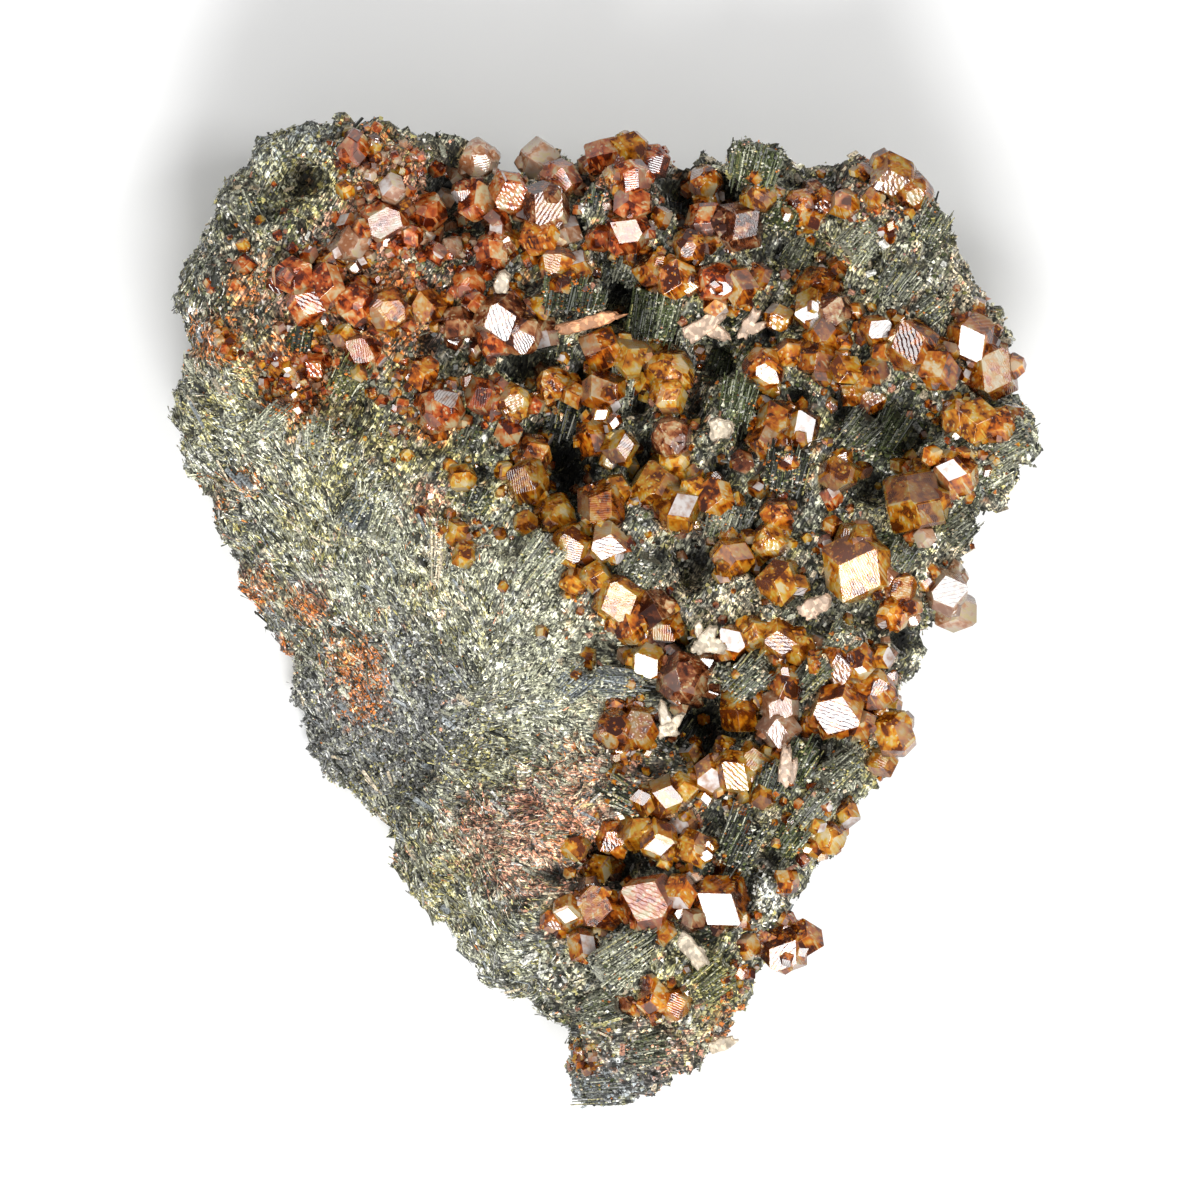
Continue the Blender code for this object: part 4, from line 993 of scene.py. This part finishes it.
# Points spread evenly over the rock's surface
areas = np.array([p.area for p in matrixRock.data.polygons])
centres = np.array([p.center for p in matrixRock.data.polygons])
facing = np.array([p.normal for p in matrixRock.data.polygons])
usable = centres[:, 2] > 2.0 * mm
inPocket = np.zeros(len(centres), bool)
for centre, width, *rest in seats:
    inPocket |= np.linalg.norm(centres - np.array(centre), axis=1) < 0.47 * width


def spreadOver(count, seed, wanted):
    chance = np.random.default_rng(seed)
    odds = areas * usable * wanted
    chosen = chance.choice(len(areas), size=count, p=odds / odds.sum())
    jitter = chance.normal(scale=0.3 * mm, size=(count, 3))
    jitter -= facing[chosen] * (jitter * facing[chosen]).sum(axis=1, keepdims=True)  # stays in the surface
    return centres[chosen] + jitter, facing[chosen], chance


def along(normal, angle, lift):  # directions that follow the fibres and rise from the surface
    way = np.stack([np.cos(angle), np.sin(angle), np.zeros(len(angle))], axis=1)
    way -= normal * (way * normal).sum(axis=1, keepdims=True)
    way /= np.linalg.norm(way, axis=1, keepdims=True) + 1e-9
    way = way * np.cos(lift)[:, None] + normal * np.sin(lift)[:, None]
    side = np.cross(normal, way)
    side /= np.linalg.norm(side, axis=1, keepdims=True) + 1e-9
    return way, side


# Which faces of the rock carry which stone
up = np.clip(0.35 + 0.65 * facing[:, 2], 0.1, 1)
bareFaces = barenessOf(centres)
facePixels = pixelsOf(centres)
charcoal = np.zeros(len(centres))
for x, y, radius, strength in stonePatches["charcoal"]:
    charcoal += strength * 0.25 * fading(facePixels, x, y, radius)
charcoal = np.clip(charcoal, 0, 1)


def drawn(chance, limits, shape, number):  # lengths or widths within limits, by the shape of their spread
    low, high = limits
    return (low + (high - low) * chance.beta(*shape, size=number)) * mm


fibres = {
    "bare": {"count": 36000, "length": (0.6, 2.8), "width": (0.09, 0.22), "lift": 0.03,
             "wanted": bareFaces * (1 - 0.85 * charcoal) * up},
    "crystal": {"count": 11000, "length": (0.4, 1.5), "width": (0.10, 0.26), "lift": 0.3,
                "wanted": (1 - bareFaces) * ~inPocket * up},
}
for part, (kindName, fibre) in enumerate(fibres.items()):
    number = fibre["count"]
    places, normal, chance = spreadOver(number, 11 + part, fibre["wanted"])
    angle = fibreAngles(places) + chance.normal(scale=0.20 + 0.22 * part, size=number)
    angle += 0.5 * ripples(places, 9 * mm, 21) + 0.5 * part * ripples(places, 4 * mm, 22)
    lift = np.abs(chance.normal(scale=fibre["lift"], size=number)) + 0.03
    lift *= np.clip(0.25 + normal[:, 2], 0.15, 1)
    way, side = along(normal, angle, lift)
    lengths = drawn(chance, fibre["length"], (1.2, 3.4), number)
    lengths *= np.clip(0.45 + normal[:, 2], 0.4, 1)
    widths = drawn(chance, fibre["width"], (1.5, 2.5), number)
    # painted shade in the gaps, as on the rock
    tints = stoneChoice(places, 31 + part) * recessShade(places)[:, None]
    scatter(kindName + "Fibres", "needle", places + 0.05 * mm * normal, way, side, lengths,
            1.3 * widths, widths, tints, fibreFinish)

grains = {
    "bare": {"count": 27000, "size": (0.16, 0.6), "wanted": bareFaces * (0.25 + charcoal) * up},
    "crystal": {"count": 25000, "size": (0.2, 0.85),
                "wanted": (1 - bareFaces) * (0.3 + 0.7 * ~inPocket) * up},
}
for part, (kindName, grain) in enumerate(grains.items()):
    number = grain["count"]
    places, normal, chance = spreadOver(number, 51 + part, grain["wanted"])
    way = chance.normal(size=(number, 3))
    way /= np.linalg.norm(way, axis=1, keepdims=True)
    side = np.cross(way, chance.normal(size=(number, 3)))
    side /= np.linalg.norm(side, axis=1, keepdims=True)
    sizes = drawn(chance, grain["size"], (1.2, 3.0), number)
    # painted shade in the gaps, as on the rock
    tints = stoneChoice(places, 61 + part, 1.2) * recessShade(places)[:, None]
    scatter(kindName + "Grains", "speck", places, way, side, sizes * 1.3, sizes, sizes * 0.8,
            tints, grainFinish)

# Flat laths on the broken side, pale flakes among the crystals
laths = {
    "bare": {"count": 700, "length": (1.2, 4.6), "width": (0.25, 0.7), "depth": 0.22, "tilt": 0.06,
             "lift": 0.08, "tints": ("steel", "pale", "mid", "pale", "white", "dark", "cream"),
             "wanted": bareFaces * up},
    "crystal": {"count": 360, "length": (0.6, 2.2), "width": (0.35, 1.0), "depth": 0.25, "tilt": 0.5,
                "lift": 0.25, "tints": ("cream", "cream", "white", "pale", "pink"),
                "wanted": (1 - bareFaces) * ~inPocket * up},
}
for part, (kindName, lath) in enumerate(laths.items()):
    number = lath["count"]
    places, normal, chance = spreadOver(number, 91 + part, lath["wanted"])
    angle = fibreAngles(places) + chance.normal(scale=0.15 + 1.2 * part, size=number)
    way, side = along(normal, angle, chance.normal(scale=lath["tilt"], size=number))
    lengths = drawn(chance, lath["length"], (1.2, 2.5), number)
    widths = drawn(chance, lath["width"], (1.2, 2.5), number)
    picked = chance.integers(len(lath["tints"]), size=number)
    tints = np.array([stoneTints[lath["tints"][i]] for i in picked])
    # painted shade in the gaps, as on the rock
    tints = tints * (recessShade(places) * chance.uniform(0.5, 0.95, size=number))[:, None]
    scatter(kindName + "Laths", "rod", places + lath["lift"] * mm * normal, way, side, lengths, widths,
            np.full(number, lath["depth"] * mm), tints, fibreFinish)

rods = []  # place, way along, way across, length, width, depth, tint
specks = []  # grains that stick to the fibres


def domed(half, shift, width):  # height of a bundle's surface, off its middle line
    return half * (1 - 0.75 * abs(2 * shift / (width * mm)) ** 1.5)


chance = np.random.default_rng(77)
for middle, way, side, half, length, width, kind in bundleFrames:
    third = np.cross(way, side)
    own = np.array(stoneTints[kind])
    # The body that the fibres lie on, at half its tint as painted shade between the fibres
    rods.append((middle, way, side, 0.86 * length * mm, 0.8 * width * mm, 1.5 * half, 0.5 * own))
    rows = int(width / (0.72 * bundles["rod"]))
    for row in range(rows):
        for layer in range(bundles["layers"]):
            shift = ((row + chance.uniform(-0.5, 0.5)) / (rows - 1) - 0.5) * width * mm
            height = domed(half, shift, width) - 0.8 * layer * bundles["rod"] * mm
            slide = (0.13 * chance.normal() + 0.12 * math.sin(9 * row / rows + 7 * length)) * length * mm
            bend = way + chance.normal(scale=bundles["spread"], size=3) + 0.16 * side * shift / (width * mm)
            bend /= np.linalg.norm(bend)
            lean = np.cross(bend, chance.normal(size=3))
            long = length * mm * chance.uniform(0.3, 0.95)
            thick = bundles["rod"] * mm * chance.uniform(0.6, 1.5)
            other = bundles["mixed"][chance.choice(6, p=bundles["shares"])] or kind
            mixed = 0.65 * np.array(stoneTints[other]) + 0.35 * own
            place = middle + side * shift + third * height + way * slide
            rods.append((place, bend, lean / np.linalg.norm(lean), long, thick, 0.8 * thick,
                         mixed * chance.uniform(0.35, 1.5)))
    for speck in range(int(8 * length * width)):
        shift = chance.uniform(-0.52, 0.52) * width * mm
        slide = chance.uniform(-0.48, 0.48) * length * mm
        height = domed(half, shift, width) + 0.08 * mm
        specks.append(middle + side * shift + third * height + way * slide)
specks = np.array(specks)
number = len(specks)
sizes = chance.uniform(0.12, 0.38, size=number) * mm
# painted shade in the gaps, never darker than 0.3
tints = stoneChoice(specks, 95) * np.maximum(recessShade(specks), 0.3)[:, None]
scatter("bundleGrains", "speck", specks, np.array([[0, 0, 1.0]] * number), np.array([[1.0, 0, 0]] * number),
        sizes, 1.3 * sizes, sizes, tints, grainFinish)
places, way, side, lengths, widths, depths, tints = (np.array(column) for column in zip(*rods))
# painted shade in the gaps, never darker than 0.35
tints = tints * np.maximum(recessShade(places), 0.35)[:, None]
scatter("fibreBundles", "rod", places, way, side, lengths, widths, depths, tints, fibreFinish)

# Crystals

groups = {name: Crystals() for name in clusterNames + ["matrix"]}
chance = random.Random(5)
for centre, width, node, px, py in seats:
    habit = chance.choices(("rhombic", "truncated", "trapezohedral"), (0.35, 0.4, 0.25))[0]
    kind = pickKind(px, py, chance)
    striped = chance.uniform(0.5, 1.0) if chance.random() < garnets["striped"] else 0.0
    bright = any(math.hypot(px - x, py - y) < 9 for x, y in brightOnes)
    habit = "rhombic" if bright else habit
    front = frontOf(habit, chance)
    single = growGarnet(1.09 * width, habit, chance, front=front,
                        near=garnets["brightFront"] if bright else garnets["front"])
    turn = turned(front, chance, 1, 0.015) if bright else turned(front, chance, garnets["facesLight"])
    lines = 0.95 if bright else striped
    groups[node].add(single, turn, centre, kind, lines, chance, front, bright)
    for extra in range(chance.randint(*garnets["satellites"])):
        size = width * chance.uniform(*garnets["satelliteWidth"])
        away = Vector((chance.gauss(0, 1), chance.gauss(0, 1), chance.gauss(0.1, 0.4))).normalized()
        front = frontOf("rhombic", chance)
        single = growGarnet(size, "rhombic", chance, edge=False)
        turn = turned(front, chance, garnets["satellitesLight"])
        groups[node].add(single, turn, centre + away * 0.4 * width, kind, striped, chance)
for name, group in groups.items():
    if not group.growth:
        print("no crystal in", name)
        continue
    piece = group.finish("garnets" + name[-2:] if name != "matrix" else "garnetsOnRock")
    if name != "matrix":
        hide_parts(name)
print("large crystals grown")

small = {
    "around": (2, 5), "width": (0.9, 2.9),  # round each large one
    "alone": 520, "aloneWidth": (0.6, 1.8), "aloneReach": 38, "crustWidth": (0.6, 1.7),
}
# Sugary crusts of little crystals: pixel x, y, radius, how many
crusts = [
    (390, 240, 46, 90), (293, 378, 32, 80), (212, 338, 24, 40), (893, 180, 34, 70), (625, 735, 34, 80),
    (380, 180, 46, 90), (330, 290, 40, 60), (460, 246, 14, 20), (583, 1060, 18, 20), (741, 979, 20, 24),
    (620, 158, 36, 50), (410, 400, 36, 40), (458, 540, 22, 30), (690, 496, 20, 24), (800, 820, 40, 30),
    (960, 450, 30, 24),
]
littleOnes = Crystals()
chance = random.Random(9)
spots = [(px, py, width) for px, py, width in garnetPlaces if width < garnets["smallestSolid"]]
for centre, width, node, px, py in seats:
    for extra in range(chance.randint(*small["around"])):
        turn = chance.uniform(0, math.tau)
        reach = chance.uniform(0.48, 0.62) * width / photo["pixel"]
        size = chance.uniform(*small["width"])
        spots.append((px + reach * math.cos(turn), py + reach * math.sin(turn), size))


def addSpot(px, py, reach, widths):
    spots.append((px + chance.gauss(0, reach), py + chance.gauss(0, reach), chance.uniform(*widths)))


for extra in range(small["alone"]):
    px, py, width = chance.choice(garnetPlaces)
    addSpot(px, py, small["aloneReach"], small["aloneWidth"])
for px, py, radius, number in crusts:
    for extra in range(number):
        addSpot(px, py, 0.55 * radius, small["crustWidth"])
for px, py, width in spots:
    hit = firstBelow(rockTree, *spot(px, py))
    if hit is None or barenessOf(np.array([hit]))[0] > 0.9:
        continue
    centre = hit + Vector((0, 0, 0.22 * width * mm))
    habit = chance.choice(("rhombic", "truncated")) if width > 2.2 else "rhombic"
    front = frontOf(habit, chance)
    single = growGarnet(width * mm, habit, chance, edge=False)
    turn = turned(front, chance, garnets["smallFacesLight"])
    littleOnes.add(single, turn, centre, pickKind(px, py, chance), 0.0, chance)
littleOnes.finish("smallGarnets")
print("small crystals grown:", len(spots))

# Feldspar blades: node, then lobes as (x, y, length, width, thickness in mm, direction, tilt)

blades = {
    "feldspar_star": [
        (-0.6, 0.2, 5.6, 2.6, 1.0, 30, 12), (0.9, -0.6, 4.0, 1.8, 0.9, -28, 18),
        (0.4, 1.0, 3.4, 1.4, 0.8, 95, 8),
    ],
    "feldspar_long_lath": [(0, 0, 8.8, 1.9, 1.2, 16, 8), (-2.4, -0.7, 3.6, 1.5, 1.0, 10, 4)],
    "feldspar_upper_left": [(0, 0, 3.0, 2.2, 0.8, 75, 20)],
    "feldspar_upper_right": [(0, 0, 5.0, 1.6, 0.8, 62, 16), (0.8, -0.6, 2.8, 1.4, 0.8, 20, 10)],
    "feldspar_block": [(0, 0, 3.2, 2.9, 1.3, 10, 12)],
    "feldspar_middle": [
        (0, 0, 4.6, 2.0, 1.0, 55, 12), (0.6, -0.8, 4.2, 2.2, 1.0, -10, 10),
        (-0.9, 1.0, 2.4, 1.2, 0.8, 100, 16),
    ],
    "feldspar_right": [(0, 0, 4.4, 2.4, 1.0, 28, 14), (-0.8, -0.6, 3.0, 1.8, 0.9, -20, 10)],
    "feldspar_forked": [
        (-0.5, 0, 4.6, 1.7, 1.0, 104, 16), (0.8, -0.5, 3.6, 1.3, 0.9, 56, 18),
        (0, -1.4, 2.8, 2.2, 1.0, 10, 8),
    ],
    "feldspar_lower": [(0, 0, 5.2, 2.4, 1.0, -42, 14), (0.8, -1.0, 2.8, 2.2, 1.0, -60, 8)],
    "feldspar_pillar": [(0, 0, 5.4, 1.8, 1.5, 84, 10), (0.9, -0.6, 3.6, 1.2, 1.1, 80, 8)],
    "feldspar_slab": [(0, 0, 4.0, 1.9, 1.0, 20, 8)],
}
bladeTints = {"cream": (0.62, 0.52, 0.39), "pink": (0.62, 0.45, 0.33), "brown": (0.62, 0.30, 0.15)}


def feldsparLobe(length, width, thickness, chance):
    bm = bmesh.new()
    bmesh.ops.create_circle(bm, segments=16, radius=0.5, cap_ends=True)
    for vert in bm.verts:
        squared = 0.5 / max(abs(vert.co.x), abs(vert.co.y))
        vert.co *= chance.uniform(0.7, 1.1) * (0.5 + 0.5 * squared)
        if vert.co.x > 0:
            vert.co.y *= 1 - 0.55 * vert.co.x
    bmesh.ops.scale(bm, verts=bm.verts, vec=(length, width, 1))
    raised = bmesh.ops.extrude_face_region(bm, geom=bm.faces[:])
    top = [item for item in raised["geom"] if isinstance(item, bmesh.types.BMVert)]
    bmesh.ops.translate(bm, verts=top, vec=(0, 0, thickness))
    bmesh.ops.scale(bm, verts=top, vec=(0.9, 0.84, 1))
    bmesh.ops.recalc_face_normals(bm, faces=bm.faces)
    bmesh.ops.bevel(bm, geom=bm.edges[:], offset=0.12 * thickness, offset_type="OFFSET", segments=1,
                    profile=0.5, affect="EDGES", material=-1)
    bmesh.ops.triangulate(bm, faces=bm.faces)
    bmesh.ops.subdivide_edges(bm, edges=bm.edges, cuts=1, use_grid_fill=True)
    for vert in bm.verts:
        vert.co += Vector([chance.uniform(-1, 1) for i in range(3)]) * 0.045 * thickness
    return bm


for number, (name, lobes) in enumerate(blades.items()):
    chance = random.Random(100 + number)
    low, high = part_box(name)
    joined = bmesh.new()
    for x, y, length, width, thickness, degrees, tilt in lobes:
        lobe = feldsparLobe(length * mm, width * mm, thickness * mm, chance)
        turn = Matrix.Rotation(math.radians(degrees), 3, "Z") @ Matrix.Rotation(-math.radians(tilt), 3, "Y")
        bmesh.ops.rotate(lobe, verts=lobe.verts, matrix=turn)
        middle = (low + high) / 2 + Vector((x * mm, y * mm, 0.1 * mm))
        bmesh.ops.translate(lobe, verts=lobe.verts, vec=middle)
        lobeMesh = meshOf(lobe, "lobe")
        joined.from_mesh(lobeMesh)
        bpy.data.meshes.remove(lobeMesh)
    blade = addObject(name.replace("feldspar_", "blade_"), meshOf(joined, name))
    tint = "brown" if name == "feldspar_long_lath" else "cream" if number % 3 else "pink"
    coords = np.array([v.co for v in blade.data.vertices])
    shade = 1 + 0.16 * ripples(coords, 2 * mm, 200 + number)
    paint(blade, np.array(bladeTints[tint]) * shade[:, None])
    blade.data.materials.append(feldsparFinish)
    blade.data.shade_flat()
    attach(blade, "root")
    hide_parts(name)
print("feldspar blades made")

# Floor, lamps and camera

floorMesh = bmesh.new()
bmesh.ops.create_grid(floorMesh, x_segments=1, y_segments=1, size=1.6)
floor = addObject("floor", meshOf(floorMesh, "floor"))
floorFinish, floorShader = newFinish("floorWhite")
fill(floorFinish, floorShader, {"Base Color": (0.93, 0.93, 0.93, 1), "Roughness": 0.9})
floor.data.materials.append(floorFinish)

world = bpy.data.worlds.new("studio")
bpy.context.scene.world = world
world.use_nodes = True
world.node_tree.nodes["Background"].inputs["Color"].default_value = (1, 1, 1, 1)
world.node_tree.nodes["Background"].inputs["Strength"].default_value = 0.32

studio = {"distance": 0.9, "sizes": (0.32, 0.26, 0.25, 0.75), "watts": (6.0, 2.9, 2.2, 2.4)}
softboxWays = lampWays + [Vector((0.02, -0.36, 0.93))]  # the last is a wide dim one behind the first
for number, (way, size, watts) in enumerate(zip(softboxWays, studio["sizes"], studio["watts"])):
    lamp = bpy.data.lights.new(f"softbox{number}", "AREA")
    lamp.shape = "SQUARE"
    lamp.size = size
    lamp.energy = watts
    holder = addObject(f"softbox{number}", lamp)
    holder.location = way.normalized() * studio["distance"] * (1 + 0.1 * number) + Vector((0, 0, 0.03))
    holder.visible_camera = False
    holder.rotation_euler = way.to_track_quat("Z", "Y").to_euler()

shot = {"lens": 400, "frame": 0.138, "middle": (600, 600)}
camera = bpy.data.cameras.new("camera")
camera.lens = shot["lens"]
camera.sensor_width = 36
camera.clip_end = 20
cameraObject = addObject("camera", camera)
x, y = spot(*shot["middle"])
cameraObject.location = (x, y, photo["frontHeight"] + shot["frame"] * shot["lens"] / 36)
bpy.context.scene.camera = cameraObject
bpy.context.scene.view_settings.view_transform = "Standard"
bpy.context.scene.view_settings.look = "None"

triangles = []
for obj in bpy.context.scene.objects:
    if obj.type == "MESH" and not obj.hide_render:
        obj.data.calc_loop_triangles()
        triangles.append(len(obj.data.loop_triangles))
print("triangles:", sum(triangles), "in the largest piece:", max(triangles))
